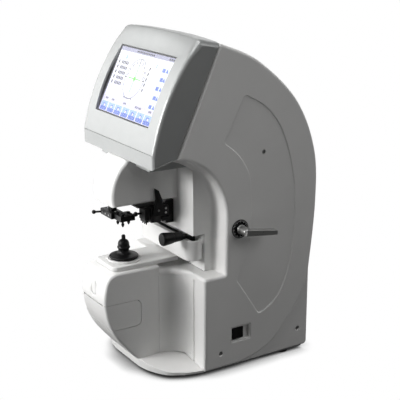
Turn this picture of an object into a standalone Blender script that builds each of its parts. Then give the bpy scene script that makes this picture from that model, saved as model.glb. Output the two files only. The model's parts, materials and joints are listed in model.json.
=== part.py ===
"""Desktop auto lensmeter: covers, tilted display head, measuring stage, lens table, optics and printer.

Working frame: X across (0 on the mid-plane), Y from the front face of the lower body (0) to the back,
Z up from the lower edge of the covers. Sizes are in millimetres and turned into metres by MM. Every
sub-part hangs under one empty, which sets the origin to the middle of the footprint on the table top.
"""
import math

import bmesh
import bpy
from mathutils import Matrix, Vector

MM = 0.001

# ---- driving dimensions, millimetres --------------------------------------------------------------
GAP = 0.35               # air between touching pieces
WALL = 2.6               # moulded wall thickness
FOOT_DROP = 6.0          # the feet stand this far below the covers' lower edge
FOOT_RADIUS = 9.0

BODY_HALF = 102.0        # half width of the covers
SEAM_HALF = 69.0         # the side covers meet the middle covers here
LEDGE_Z = 136.5          # top of the lower body, where the side windows start
RIM_Y = 34.0             # front edge of the side covers above the ledge
COLUMN_HALF = 72.0
COLUMN_STEP_Z = 190.0    # below this the column's front is set back, to let the lens table in
COLUMN_STEP_Y = 18.0
SOFFIT_Z = 307.0         # ceiling over the measuring space
JOINT_LOW = (-40.4, 308.0)    # the joint between head and body, lower and upper end
JOINT_HIGH = (23.9, 452.3)
HEAD_TOP = (-7.3, 457.5)
HEAD_CROWN = 6.0         # the head's top is this much higher on the mid-plane than at its sides
HEAD_CHIN = (-76.6, 317.6)
HEAD_BULGE = 10.5        # the front of the head curves forward this much
HEAD_BOTTOM = (-76.5, 299.0)
SCREEN_TOP = (-26.5, 434.9)
SCREEN_BOTTOM = (-67.8, 348.4)
SCREEN_HALF = 74.5

NOSE_HALF = 36.0         # lower front housing
FILLET_RADIUS = 33.0     # concave corner between the nose and the body's front
STAGE_TOP = 149.6
STAGE_THICK = 6.0
STAGE_HALF = 29.0
STAGE_FRONT_Y = -99.0
AXIS_Y = -68.7           # the optical axis stands here on the mid-plane
OPTICS_HALF = 30.0       # upper optics cover
OPTICS_BOTTOM = 234.0

TABLE_FRONT_Y = -6.0     # lens table
TABLE_BOTTOM = 153.5
TABLE_TOP = 182.5
PINION_Y = 56.0          # side lever, its shaft and pinion
PINION_Z = 200.0
MODULE = 1.5
PINION_TEETH = 24
PINION_RADIUS = MODULE * PINION_TEETH / 2.0

SHEET = 1.6              # sheet metal and circuit boards

# The origin: middle of the footprint, on the table top.
LEVER_REACH = 126.0      # the side lever's outermost X
DEPTH_FRONT = -117.6
DEPTH_BACK = 186.0
ORIGIN = Vector((-(LEVER_REACH - BODY_HALF) / 2.0, -(DEPTH_FRONT + DEPTH_BACK) / 2.0, FOOT_DROP))


# ---- scene, materials and small helpers -----------------------------------------------------------
for leftover in list(bpy.data.objects):
    bpy.data.objects.remove(leftover, do_unlink=True)

PARTS = bpy.data.collections.new("auto_lensmeter")
CUTTERS = bpy.data.collections.new("cutters")
bpy.context.scene.collection.children.link(PARTS)
bpy.context.scene.collection.children.link(CUTTERS)

ROOT = bpy.data.objects.new("lensmeter_frame", None)
ROOT.location = ORIGIN * MM
PARTS.objects.link(ROOT)


def material(name, colour, roughness, metallic=0.0, alpha=1.0):
    """A Principled material with one colour."""
    made = bpy.data.materials.new(name)
    made.use_nodes = True
    shader = made.node_tree.nodes["Principled BSDF"]
    shader.inputs["Base Color"].default_value = (*colour, 1.0)
    shader.inputs["Roughness"].default_value = roughness
    shader.inputs["Metallic"].default_value = metallic
    shader.inputs["Alpha"].default_value = alpha
    return made


WHITE = material("white_plastic", (0.80, 0.80, 0.78), 0.45)
GREY = material("grey_plastic", (0.52, 0.54, 0.54), 0.42)
BLACK = material("black_plastic", (0.015, 0.015, 0.017), 0.45)
RUBBER = material("rubber", (0.03, 0.03, 0.03), 0.8)
SCREEN = material("screen", (0.70, 0.74, 0.90), 0.2)
GLASS = material("glass", (0.85, 0.90, 0.92), 0.03, alpha=0.35)
SILVER = material("silver_metal", (0.62, 0.62, 0.62), 0.32, metallic=1.0)
STEEL = material("steel", (0.55, 0.55, 0.56), 0.35, metallic=1.0)
SHEET_METAL = material("sheet_metal", (0.50, 0.51, 0.52), 0.45, metallic=1.0)
BRASS = material("brass", (0.72, 0.56, 0.26), 0.35, metallic=1.0)
BOARD = material("circuit_board", (0.03, 0.20, 0.10), 0.5)
PAPER = material("paper", (0.90, 0.89, 0.86), 0.9)


def mm(*values):
    """Millimetres to a vector in metres."""
    return Vector(values) * MM


def place(thing, location=(0.0, 0.0, 0.0), parent=None):
    """Put an object under the root, or under another object whose frame it uses."""
    thing.parent = parent or ROOT
    thing.location = mm(*location)
    return thing


def finish(thing, look, name, location=(0.0, 0.0, 0.0), parent=None, curved=True):
    """Name a mesh object, give it its material and move it into the parts' collection."""
    thing.name = name
    thing.data.name = name
    thing.data.materials.clear()
    thing.data.materials.append(look)
    for home in list(thing.users_collection):
        home.objects.unlink(thing)
    PARTS.objects.link(thing)
    if curved:
        thing.data.shade_smooth()
        thing.data.set_sharp_from_angle(angle=math.radians(35.0))
    return place(thing, location, parent)


def new_object(name, mesh, collection=None):
    made = bpy.data.objects.new(name, mesh)
    (collection or CUTTERS).objects.link(made)
    return made


def frozen(thing):
    """The object with its modifiers applied, as a plain welded mesh in the same place."""
    bpy.context.view_layer.update()
    source = thing.evaluated_get(bpy.context.evaluated_depsgraph_get())
    mesh = bpy.data.meshes.new_from_object(source)
    shape = bmesh.new()
    shape.from_mesh(mesh)
    bmesh.ops.remove_doubles(shape, verts=shape.verts, dist=1e-6)
    shape.to_mesh(mesh)
    shape.free()
    made = new_object(thing.name, mesh)
    made.matrix_world = thing.matrix_world.copy()
    bpy.data.objects.remove(thing, do_unlink=True)
    return made


def baked(thing):
    """Move an object's own placement into its mesh, so that later cuts share one frame."""
    bpy.context.view_layer.update()
    thing.data.transform(thing.matrix_world)
    thing.matrix_world = Matrix.Identity(4)
    return thing


AXES = {
    "X": Matrix(((0, 0, 1), (1, 0, 0), (0, 1, 0))).to_4x4(),     # outline (y, z), pushed along X
    "Y": Matrix(((1, 0, 0), (0, 0, -1), (0, 1, 0))).to_4x4(),    # outline (x, z), pushed along Y
    "Z": Matrix.Identity(4),                                     # outline (x, y), pushed along Z
}


def prism(points, low, high, along="X"):
    """A closed outline in millimetres, pushed from low to high along one axis."""
    curve = bpy.data.curves.new("outline", "CURVE")
    curve.dimensions = "2D"
    curve.fill_mode = "BOTH"
    curve.extrude = (high - low) / 2.0 * MM
    line = curve.splines.new("POLY")
    line.points.add(len(points) - 1)
    for spot, (u, v) in zip(line.points, points):
        spot.co = (u * MM, v * MM, 0.0, 1.0)
    line.use_cyclic_u = True
    made = new_object("outline", curve)
    middle = (high + low) / 2.0 * MM
    if along == "Y":
        middle = -middle
    made.matrix_world = AXES[along] @ Matrix.Translation((0.0, 0.0, middle))
    made = baked(frozen(made))
    # The caps become single faces again, which keeps later cuts clean.
    shape = bmesh.new()
    shape.from_mesh(made.data)
    bmesh.ops.dissolve_limit(shape, angle_limit=0.004, verts=shape.verts, edges=shape.edges, delimit=set())
    bmesh.ops.recalc_face_normals(shape, faces=shape.faces)
    shape.to_mesh(made.data)
    shape.free()
    return made


def box(low, high):
    """A box from its lowest to its highest corner."""
    bpy.ops.mesh.primitive_cube_add(size=1.0)
    made = bpy.context.object
    low, high = mm(*low), mm(*high)
    made.scale = high - low
    made.location = (low + high) / 2.0
    return baked(made)


def cylinder(radius, start, end, sides=32, end_radius=None):
    """A cylinder or cone between two points."""
    start, end = mm(*start), mm(*end)
    far = radius if end_radius is None else end_radius
    bpy.ops.mesh.primitive_cone_add(vertices=sides, radius1=radius * MM, radius2=far * MM,
                                    depth=(end - start).length)
    made = bpy.context.object
    turn = (end - start).to_track_quat("Z", "Y").to_matrix().to_4x4()
    made.matrix_world = Matrix.Translation((start + end) / 2.0) @ turn
    return baked(made)


def sphere(radius, centre, sides=16):
    bpy.ops.mesh.primitive_uv_sphere_add(segments=sides, ring_count=sides // 2, radius=radius * MM,
                                         location=mm(*centre))
    return baked(bpy.context.object)


def turned(profile, steps=40):
    """A solid of revolution about Z; the profile runs down its outer side, from top to bottom."""
    mesh = bpy.data.meshes.new("profile")
    points = [mm(radius, 0.0, height) for radius, height in profile]
    edges = [(i, i + 1) for i in range(len(points) - 1)]
    if profile[0][0] > 0.0:
        edges.append((len(points) - 1, 0))
    mesh.from_pydata(points, edges, [])
    made = new_object("turned", mesh)
    screw = made.modifiers.new("Screw", "SCREW")
    screw.steps = screw.render_steps = steps
    screw.use_merge_vertices = True
    screw.merge_threshold = 0.00001
    return frozen(made)


def boolean(thing, other, operation):
    """Cut, join or intersect with another solid, which is used up."""
    cut = thing.modifiers.new("Boolean", "BOOLEAN")
    cut.operation = operation
    cut.solver = "EXACT"
    cut.object = other
    made = frozen(thing)
    bpy.data.objects.remove(other, do_unlink=True)
    return made


def minus(thing, *others):
    for other in others:
        thing = boolean(thing, other, "DIFFERENCE")
    return thing


def plus(thing, *others):
    for other in others:
        thing = boolean(thing, other, "UNION")
    return thing


def common(thing, other):
    return boolean(thing, other, "INTERSECT")


def rounded(thing, width, segments=2, angle=40.0):
    """Round every edge sharper than the angle."""
    bevel = thing.modifiers.new("Bevel", "BEVEL")
    bevel.width = width * MM
    bevel.segments = segments
    bevel.limit_method = "ANGLE"
    bevel.angle_limit = math.radians(angle)
    return frozen(thing)


# ---- outlines -------------------------------------------------------------------------------------
def arc(centre, radius, start, end, steps):
    """Points on a circular arc, angles in degrees."""
    points = []
    for i in range(steps + 1):
        angle = math.radians(start + (end - start) * i / steps)
        points.append((centre[0] + radius * math.cos(angle), centre[1] + radius * math.sin(angle)))
    return points


def arc_through(first, last, bulge, steps):
    """An arc from first to last that stands off the straight line by bulge, to its left."""
    a, b = Vector(first), Vector(last)
    chord = (b - a).length
    side = Vector((-(b - a).y, (b - a).x)).normalized()
    radius = (chord * chord / 4.0 + bulge * bulge) / (2.0 * bulge)
    centre = (a + b) / 2.0 + side * (bulge - radius)
    begin = math.atan2(a.y - centre.y, a.x - centre.x)
    sweep = math.atan2(b.y - centre.y, b.x - centre.x) - begin
    sweep = (sweep + math.pi) % (2.0 * math.pi) - math.pi
    radius = abs(radius)
    return [(centre.x + radius * math.cos(begin + sweep * i / steps),
             centre.y + radius * math.sin(begin + sweep * i / steps)) for i in range(steps + 1)]


def smooth(points, steps):
    """A Catmull-Rom curve through the points."""
    ends = [points[0], *points, points[-1]]
    line = []
    for p0, p1, p2, p3 in zip(ends, ends[1:], ends[2:], ends[3:]):
        for i in range(steps):
            t = i / steps
            line.append(tuple(
                0.5 * (2.0 * b + (c - a) * t + (2.0 * a - 5.0 * b + 4.0 * c - d) * t * t
                       + (3.0 * b - a - 3.0 * c + d) * t ** 3)
                for a, b, c, d in zip(p0, p1, p2, p3)))
    return [*line, tuple(points[-1])]


def offset(points, distance):
    """A closed outline moved inward by a distance; a negative distance moves it outward."""
    area = sum(a[0] * b[1] - b[0] * a[1] for a, b in zip(points, points[1:] + points[:1]))
    sign = 1.0 if area > 0.0 else -1.0
    moved = []
    count = len(points)
    for i in range(count):
        before, here, after = (Vector(points[i - 1]), Vector(points[i]), Vector(points[(i + 1) % count]))
        one, two = (here - before).normalized(), (after - here).normalized()
        normal_one, normal_two = Vector((-one.y, one.x)), Vector((-two.y, two.x))
        middle = (normal_one + normal_two).normalized()
        reach = distance / max(middle.dot(normal_one), 0.35)
        moved.append(tuple(here + middle * reach * sign))
    return moved


def corner_box(half_u, half_v, radius, centre=(0.0, 0.0), steps=4):
    """A rectangle with round corners."""
    points = []
    for su, sv, start in ((1, -1, -90), (1, 1, 0), (-1, 1, 90), (-1, -1, 180)):
        middle = (centre[0] + su * (half_u - radius), centre[1] + sv * (half_v - radius))
        points += arc(middle, radius, start, start + 90, steps)
    return points


RIM = smooth([(RIM_Y, LEDGE_Z), (RIM_Y, 180.0), (RIM_Y, 228.0), (25.2, 259.0), (8.0, 283.6),
              (-15.0, 299.9), JOINT_LOW], 2)
CROWN_LINE = smooth([JOINT_HIGH, (84.6, 425.3), (148.3, 367.2), (181.3, 293.8), (185.7, 215.0),
                     (176.7, 117.3)], 4)
SWEEP = smooth([(176.7, 117.3), (164.0, 83.0), (144.7, 54.3), (119.0, 24.4), (89.7, 8.1),
                (58.0, 0.0)], 2)


# ---- base -----------------------------------------------------------------------------------------
TONGUE = [(100.0, -1.0), (95.9, -21.4), (90.8, -32.6), (80.6, -49.0), (58.0, -62.0), (36.0, -67.3)]
TRAY_HEIGHT = 12.0
FOOT_SPOTS = {"front_left": (-66.0, -34.0), "front_right": (66.0, -34.0),
              "rear_left": (-86.0, 142.0), "rear_right": (86.0, 142.0)}


def tongue_outline(back):
    """The base's round front, closed by a straight back edge."""
    right = smooth(TONGUE, 2)
    left = [(-x, y) for x, y in reversed(right)]
    return [(-100.0, back), (100.0, back), *right, *left]


def base_plate():
    plate = prism(offset(tongue_outline(176.0), 5.0), -2.2, -GAP, "Z")
    return finish(plate, SHEET_METAL, "base_plate")


def feet():
    for name, (x, y) in FOOT_SPOTS.items():
        foot = turned([(0.0, -2.2 - GAP), (FOOT_RADIUS, -2.2 - GAP), (FOOT_RADIUS, -5.2),
                       (FOOT_RADIUS - 0.9, -FOOT_DROP), (0.0, -FOOT_DROP)], 20)
        finish(foot, RUBBER, "foot_" + name, (x, y, 0.0))


def tray_solid(inward):
    """The base's front as a full solid: level by the nose, falling away to both sides."""
    top = TRAY_HEIGHT - inward
    tray = prism(offset(tongue_outline(-GAP), inward), -inward, top, "Z")
    for side in (-1.0, 1.0):
        slope = [(side * NOSE_HALF, top + 0.1), (side * 110.0, top - 10.4), (side * 110.0, top + 20.0),
                 (side * NOSE_HALF, top + 20.0)]
        tray = minus(tray, prism(slope, -90.0, 20.0, "Y"))
    return tray


def base_tray():
    return finish(minus(tray_solid(0.0), tray_solid(WALL)), WHITE, "base_tray")


# ---- side covers ----------------------------------------------------------------------------------
def side_outline():
    """Side view of a side cover: front, ledge, window rim, joint, crown and lower sweep."""
    return [(0.0, 0.0), (0.0, LEDGE_Z), *RIM, *CROWN_LINE, *SWEEP[1:]]


INLAY_FRONT = smooth([(30.6, 322.3), (54.8, 301.5), (71.3, 273.2), (75.0, 240.0), (74.9, 209.0),
                      (69.9, 167.3), (52.2, 126.5)], 2)
INLAY_REAR = smooth([(90.2, 68.6), (117.4, 84.9), (135.8, 117.5), (146.5, 167.9), (147.0, 241.0),
                     (137.3, 292.2), (119.1, 336.2), (93.8, 364.8), (62.3, 382.5)], 2)
INLAY = [*INLAY_FRONT, *INLAY_REAR]
COVER_SCREWS = ((94.5, 302.0), (26.8, 22.0))
BLOCK_SCREW = (161.9, 28.4)
SWITCH_CENTRE = (59.8, 46.2)
SWITCH_HALF = (16.5, 11.6)
ROCKER_TILT = 4.0
INLAY_DEPTH = 1.0


def side_cover(side):
    """One moulded side cover: outer wall with a rim all round, open towards the middle."""
    outline = side_outline()
    inner, outer = SEAM_HALF + GAP, BODY_HALF
    cover = prism(outline, inner, outer)
    cover = rounded(cover, 3.0, 1, 50.0)
    cover = minus(cover,
                  prism(offset(outline, WALL), inner - 5.0, outer - WALL),
                  prism(INLAY, outer - INLAY_DEPTH, outer + 5.0))
    for y, z in COVER_SCREWS:
        cover = minus(cover, cylinder(3.2, (outer - 5.0, y, z), (outer + 2.0, y, z), 16))
    if side > 0:
        cover = minus(cover,
                      prism(corner_box(*SWITCH_HALF, 2.0, SWITCH_CENTRE, 2), outer - 6.0, outer + 3.0),
                      cylinder(5.2, (outer - 5.0, PINION_Y, PINION_Z), (outer + 2.0, PINION_Y, PINION_Z)))
    name = "right_side_cover" if side > 0 else "left_side_cover"
    return finish(mirrored(cover, side), WHITE, name)


def mirrored(thing, side):
    """The same solid for the other side of the mid-plane."""
    if side < 0:
        thing.data.transform(Matrix.Scale(-1.0, 4, (1.0, 0.0, 0.0)))
        thing.data.flip_normals()
    return thing


# ---- rear covers ----------------------------------------------------------------------------------
REAR_HALF = 98.0
REAR_Y = 179.5
INLET_X, INLET_Z = 52.0, 34.0
PORT_X, PORT_Z = -40.0, 34.0


def rear_base_cover():
    """The plain lower rear block between and below the side covers' sweep."""
    sweep = offset([(300.0, 118.0), *SWEEP, (300.0, 0.0)], GAP)[1:-1]
    outline = [*sweep[1:], (66.0, 0.0), (REAR_Y - 4.0, 0.0), (REAR_Y, 4.0), (REAR_Y, 116.0)]
    cover = prism(outline, -REAR_HALF, REAR_HALF)
    hollow = offset(outline, WALL)
    count = len(sweep) - 1
    reach = [(y - 8.0, z + 8.0) for y, z in hollow[:count]]
    rest = [(y, z - 8.0 if z < 2.0 * WALL else z + (8.0 if z > 100.0 else 0.0)) for y, z in hollow[count:]]
    cover = minus(cover, prism([*reach, *rest], -REAR_HALF + WALL, REAR_HALF - WALL))
    for x in (-REAR_HALF, REAR_HALF):
        y, z = BLOCK_SCREW
        cover = minus(cover, cylinder(3.2, (x - 4.0, y, z), (x + 4.0, y, z), 16))
    cover = minus(cover,
                  box((INLET_X - 14.0, REAR_Y - 6.0, INLET_Z - 10.5),
                      (INLET_X + 14.0, REAR_Y + 2.0, INLET_Z + 10.5)),
                  box((PORT_X - 16.0, REAR_Y - 6.0, PORT_Z - 6.5),
                      (PORT_X + 16.0, REAR_Y + 2.0, PORT_Z + 6.5)))
    return finish(cover, WHITE, "rear_base_cover")


def spine_cover():
    """The curved strip over the top and down the back, between the side covers."""
    inner = offset([*CROWN_LINE, (100.0, 120.0), (60.0, 300.0), (20.0, 420.0)], WALL)[:len(CROWN_LINE)]
    outline = [*CROWN_LINE, *reversed(inner)]
    strip = prism(outline, -SEAM_HALF, SEAM_HALF)
    vents = []
    for i in range(8):
        z = 150.0 + 9.0 * i
        vents.append(box((-35.0, 165.0, z), (35.0, 195.0, z + 3.5)))
    return finish(minus(strip, *vents), WHITE, "spine_cover")


# ---- front covers ---------------------------------------------------------------------------------
def front_base_cover():
    """The lower body's front between the side covers, with its concave corners to the nose."""
    half = SEAM_HALF
    corner = arc((half, -FILLET_RADIUS), FILLET_RADIUS, 90, 180, 6)
    right = corner
    left = [(-x, y) for x, y in reversed(right)]
    outline = [(half, COLUMN_STEP_Y - GAP), *right, *left, (-half, COLUMN_STEP_Y - GAP)]
    inside = offset(outline, WALL)
    inside[0] = (inside[0][0], inside[0][1] + 10.0)
    inside[-1] = (inside[-1][0], inside[-1][1] + 10.0)
    bottom = TRAY_HEIGHT + GAP
    cover = minus(prism(outline, bottom, LEDGE_Z, "Z"),
                  prism(inside, bottom - 5.0, LEDGE_Z - WALL, "Z"),
                  box((-28.0, -FILLET_RADIUS - 3.0, 30.0), (28.0, -FILLET_RADIUS + 6.0, 128.0)))
    lower = box((-half, 0.0, 0.0), (half, WALL, bottom + 3.0))
    return finish(plus(cover, lower), WHITE, "front_base_cover")


NOSE_SIDE = [(-99.3, 143.2), (-108.5, 138.7), (-114.0, 128.5), (-117.3, 110.2), (-116.6, 92.8),
             (-111.9, 72.4), (-101.8, 51.0), (-86.7, 31.1), (-70.0, TRAY_HEIGHT + GAP)]
DOOR_LOW, DOOR_HIGH, DOOR_BACK = 62.0, 100.0, -62.0
BUTTON_Z = 117.0
BUTTON_HALF = (7.6, 10.5)


def nose_solid(inward):
    """The lower front housing as a full solid, or its inside when moved inward by a wall."""
    front = smooth(NOSE_SIDE, 2)
    outline = [*front, (-FILLET_RADIUS - GAP, TRAY_HEIGHT + GAP), (-FILLET_RADIUS - GAP, NOSE_SIDE[0][1])]
    if inward == 0.0:
        return rounded(prism(outline, -NOSE_HALF, NOSE_HALF), 5.0, 2, 60.0)
    inside = [(y if y < -FILLET_RADIUS - 4.0 else y + 10.0, z) for y, z in offset(outline, inward)]
    return prism(inside, -NOSE_HALF + inward, NOSE_HALF - inward)


def door_zone(grow):
    """The band of the nose that the printer's cover fills, with round rear corners."""
    middle = ((DOOR_BACK - 140.0) / 2.0, (DOOR_LOW + DOOR_HIGH) / 2.0)
    half = ((DOOR_BACK + 140.0) / 2.0 + grow, (DOOR_HIGH - DOOR_LOW) / 2.0 + grow)
    return prism(corner_box(*half, 8.0, middle), -NOSE_HALF - 5.0, NOSE_HALF + 5.0)


def lower_front_housing():
    nose = minus(nose_solid(0.0), nose_solid(WALL), door_zone(GAP / 2.0),
                 button_outline(GAP, -125.0, -100.0),
                 cylinder(10.0, (0.0, AXIS_Y, 130.0), (0.0, AXIS_Y, 150.0), 24))
    return finish(nose, WHITE, "lower_front_housing")


def printer_cover():
    cover = common(nose_solid(0.0), door_zone(-GAP / 2.0))
    slot = box((-29.0, -125.0, DOOR_HIGH - 2.0), (29.0, -105.0, DOOR_HIGH - 0.6))
    cover = minus(cover, nose_solid(WALL), slot)
    return finish(cover, WHITE, "printer_cover")


def button_outline(grow, back, front):
    shape = corner_box(BUTTON_HALF[0] + grow, BUTTON_HALF[1] + grow, BUTTON_HALF[0] + grow - 0.01,
                       (0.0, BUTTON_Z), 4)
    return prism(shape, back, front, "Y")


def print_button():
    """The oval key on the nose's front, with its stem and a collar behind the wall."""
    cap = rounded(button_outline(0.0, -116.6, -111.0), 1.0, 1, 60.0)
    stem = cylinder(2.5, (0.0, -112.0, BUTTON_Z), (0.0, -103.0, BUTTON_Z), 16)
    return finish(plus(cap, stem), WHITE, "print_button")


def stage_plate():
    outline = [(STAGE_HALF, STAGE_FRONT_Y + 10.0),
               *arc((STAGE_HALF - 8.0, STAGE_FRONT_Y + 8.0), 8.0, 0, -90, 4),
               *arc((-STAGE_HALF + 8.0, STAGE_FRONT_Y + 8.0), 8.0, -90, -180, 4), (-STAGE_HALF, 1.0),
               (STAGE_HALF, 1.0)]
    plate = prism(outline, STAGE_TOP - STAGE_THICK, STAGE_TOP, "Z")
    plate = rounded(plate, 1.0, 2, 60.0)
    plate = minus(plate, cylinder(9.0, (0.0, AXIS_Y, 130.0), (0.0, AXIS_Y, 160.0), 24))
    return finish(plate, WHITE, "stage_plate")


def nosepiece():
    ring = turned([(10.0, STAGE_TOP + 2.6), (22.6, STAGE_TOP + 2.6), (23.2, STAGE_TOP + 2.0),
                   (23.2, STAGE_TOP + 0.3), (10.0, STAGE_TOP + 0.3)], 28)
    finish(ring, WHITE, "nosepiece_ring", (0.0, AXIS_Y, 0.0))
    cone = turned([(3.2, 177.8), (4.4, 177.5), (6.9, 174.6), (8.2, 169.0), (8.9, 167.4), (8.9, 166.0),
                   (7.6, 164.2), (7.6, 160.4), (12.0, 156.8), (20.3, 155.4), (20.3, 152.6), (3.2, 152.6)], 28)
    finish(cone, BLACK, "nosepiece_cone", (0.0, AXIS_Y, 0.0))
    tip = turned([(1.6, 184.4), (2.2, 184.2), (2.7, 183.2), (2.7, 178.2), (1.6, 178.2)], 16)
    finish(tip, RUBBER, "nosepiece_tip", (0.0, AXIS_Y, 0.0))


# ---- column, upper optics and head ----------------------------------------------------------------
def soffit(side):
    """The shallow trough under the head, beside the upper optics."""
    outline = [(-64.0, 287.5), (1.0, 287.5), (1.0, 305.0), (-52.0, 304.5), (-64.0, 301.4)]
    inner = [(-64.0 + WALL, 287.5 + WALL), (0.6, 287.5 + WALL), (0.6, 304.6), (-36.0, 304.6), (-36.0, 315.0),
             (-64.0 + WALL, 315.0)]
    trough = minus(prism(outline, OPTICS_HALF + 2.0 * GAP, SEAM_HALF),
                   prism(inner, OPTICS_HALF + 2.0 * GAP + WALL, SEAM_HALF - WALL))
    return mirrored(trough, side)


def column_cover():
    """The U-shaped cover of the column, set back at the foot, with the ceiling at its top."""
    rim = offset([*RIM, (200.0, 308.0), (200.0, LEDGE_Z)], -GAP)[:len(RIM)]
    rim = [(y, z) for y, z in rim if y > 1.0]
    rim[:1] = [(RIM_Y - 3.5, LEDGE_Z + GAP), (RIM_Y - GAP, LEDGE_Z + 3.8)]
    wall_side = [(0.0, COLUMN_STEP_Z), (COLUMN_STEP_Y, COLUMN_STEP_Z), (COLUMN_STEP_Y, LEDGE_Z + GAP),
                 *rim, (0.0, rim[-1][1] + 1.0)]
    inside = [(y + 20.0, z) for y, z in offset(wall_side, WALL)]
    inside[0] = (WALL, COLUMN_STEP_Z + WALL)
    inside[1] = (COLUMN_STEP_Y + WALL, COLUMN_STEP_Z + WALL)
    inside[2] = (COLUMN_STEP_Y + WALL, LEDGE_Z - 10.0)
    inside[3] = (RIM_Y + 20.0, LEDGE_Z - 10.0)
    inside[-1] = (WALL, wall_side[-1][1] + 10.0)
    low = wall_side[-1][1] - 3.0
    ceiling = [(0.2, low), (0.2, SOFFIT_Z - WALL), (JOINT_LOW[0] + 1.0, SOFFIT_Z - WALL),
               (JOINT_LOW[0] + 1.0, SOFFIT_Z), (WALL + 0.2, SOFFIT_Z), (WALL + 0.2, low)]
    cover = minus(prism(wall_side, -COLUMN_HALF, COLUMN_HALF),
                  prism(inside, WALL - COLUMN_HALF, COLUMN_HALF - WALL))
    cover = plus(cover, prism(ceiling, -SEAM_HALF, SEAM_HALF), soffit(1.0), soffit(-1.0))
    for x in (-ROD_X, ROD_X):
        cover = minus(cover, cylinder(ROD_RADIUS + 0.6, (x, 10.0, ROD_Z), (x, 30.0, ROD_Z), 20))
    return finish(cover, WHITE, "column_cover")


OPTICS_SIDE = smooth([(-97.2, OPTICS_BOTTOM), (-99.2, 247.0), (-97.6, 262.0), (-92.5, 276.0), (-84.5, 288.0),
                      (-74.0, 298.0)], 3)


def optics_solid(inward):
    outline = [*OPTICS_SIDE, (-GAP, 298.0), (-GAP, OPTICS_BOTTOM)]
    if inward == 0.0:
        return rounded(prism(outline, -OPTICS_HALF, OPTICS_HALF), 4.0, 2, 60.0)
    return prism([(y, z + 8.0 if z > 290.0 else z) for y, z in offset(outline, inward)],
                 -OPTICS_HALF + inward, OPTICS_HALF - inward)


def upper_optics_cover():
    cover = minus(optics_solid(0.0), optics_solid(WALL),
                  cylinder(8.0, (0.0, AXIS_Y, 225.0), (0.0, AXIS_Y, 245.0), 24))
    return finish(cover, WHITE, "upper_optics_cover")


FACE = [tuple(p) for p in arc_through(HEAD_TOP, HEAD_CHIN, -HEAD_BULGE, 10)]


def head_outline():
    """Side view of the head, from the joint over the top and down the curved front."""
    low = (JOINT_LOW[0] - GAP, JOINT_LOW[1] - 0.2)
    high = (JOINT_HIGH[0] - GAP, JOINT_HIGH[1] + 0.2)
    return [low, high, (HEAD_TOP[0] + 2.0, HEAD_TOP[1] + 1.0), *FACE, HEAD_BOTTOM]


def crowned(outline, half, crown, edge, inward=0.0):
    """A head-like solid: the side outline across the full width, with a crowned top."""
    lifted = [(y, z + crown if z > 440.0 else z) for y, z in outline]
    solid = prism(lifted, -half, half)
    radius = (half * half + crown * crown) / (2.0 * crown)
    top = JOINT_HIGH[1] + crown + 5.2 - inward
    tunnel = cylinder(radius, (0.0, -150.0, top - radius + 3.0), (0.0, 60.0, top - radius - 2.0), 220)
    solid = common(solid, tunnel)
    return rounded(solid, edge, 2, 45.0) if edge else solid


SCREEN_TILT = math.atan2(SCREEN_TOP[0] - SCREEN_BOTTOM[0], SCREEN_TOP[1] - SCREEN_BOTTOM[1])
SCREEN_HEIGHT = math.hypot(SCREEN_TOP[0] - SCREEN_BOTTOM[0], SCREEN_TOP[1] - SCREEN_BOTTOM[1])
SCREEN_MIDDLE = ((SCREEN_TOP[0] + SCREEN_BOTTOM[0]) / 2.0, (SCREEN_TOP[1] + SCREEN_BOTTOM[1]) / 2.0)


def on_screen(u, v, depth):
    """A point given across the screen, up the screen and back into the head."""
    y = SCREEN_MIDDLE[0] + v * math.sin(SCREEN_TILT) + depth * math.cos(SCREEN_TILT)
    z = SCREEN_MIDDLE[1] + v * math.cos(SCREEN_TILT) - depth * math.sin(SCREEN_TILT)
    return (u, y, z)


def screen_box(half_u, half_v, front, back):
    """A box lying on the tilted screen, from one depth to another."""
    bpy.ops.mesh.primitive_cube_add(size=1.0)
    made = bpy.context.object
    made.scale = mm(2.0 * half_u, back - front, 2.0 * half_v)
    made.rotation_euler = (-SCREEN_TILT, 0.0, 0.0)
    made.location = mm(*on_screen(0.0, 0.0, (front + back) / 2.0))
    return baked(made)


def head_cover():
    outline = head_outline()
    head = crowned(outline, BODY_HALF, HEAD_CROWN, 5.0)
    inside = offset(outline, WALL)
    inside[0] = (inside[0][0] + 12.0, inside[0][1] + 4.0)
    inside[1] = (inside[1][0] + 12.0, inside[1][1] - 4.0)
    hollow = prism(inside, -BODY_HALF + WALL, BODY_HALF - WALL)
    head = minus(head, hollow, screen_box(SCREEN_HALF + 1.0, SCREEN_HEIGHT / 2.0 + 1.0, -30.0, 12.0),
                 chin_groove())
    return finish(head, GREY, "head_cover")


def chin_groove():
    """The fine groove across the front, over the chin."""
    y, z = HEAD_CHIN
    return box((-BODY_HALF - 2.0, y - 3.0, z - 0.6), (BODY_HALF + 2.0, y + 1.0, z + 0.6))


def display():
    panel = screen_box(SCREEN_HALF + 0.5, SCREEN_HEIGHT / 2.0 + 0.5, 2.2, 9.0)
    finish(panel, SCREEN, "display_panel", curved=False)
    glass = screen_box(SCREEN_HALF + 0.5, SCREEN_HEIGHT / 2.0 + 0.5, 0.0, 1.8)
    finish(glass, GLASS, "touch_glass", curved=False)


# ---- lens table -----------------------------------------------------------------------------------
ROD_X, ROD_Z, ROD_RADIUS = 46.0, 165.0, 3.0
TABLE_HALF = 72.0
TABLE_RADIUS = 14.0
TABLE_WALL = 7.0
KNOB_X, KNOB_Z = 52.0, 188.6
RAIL_BACK_Y = 9.0
FORK_BACK_Y = 104.0
RACK_X = 58.0
RACK_TOP = 12.0


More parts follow.
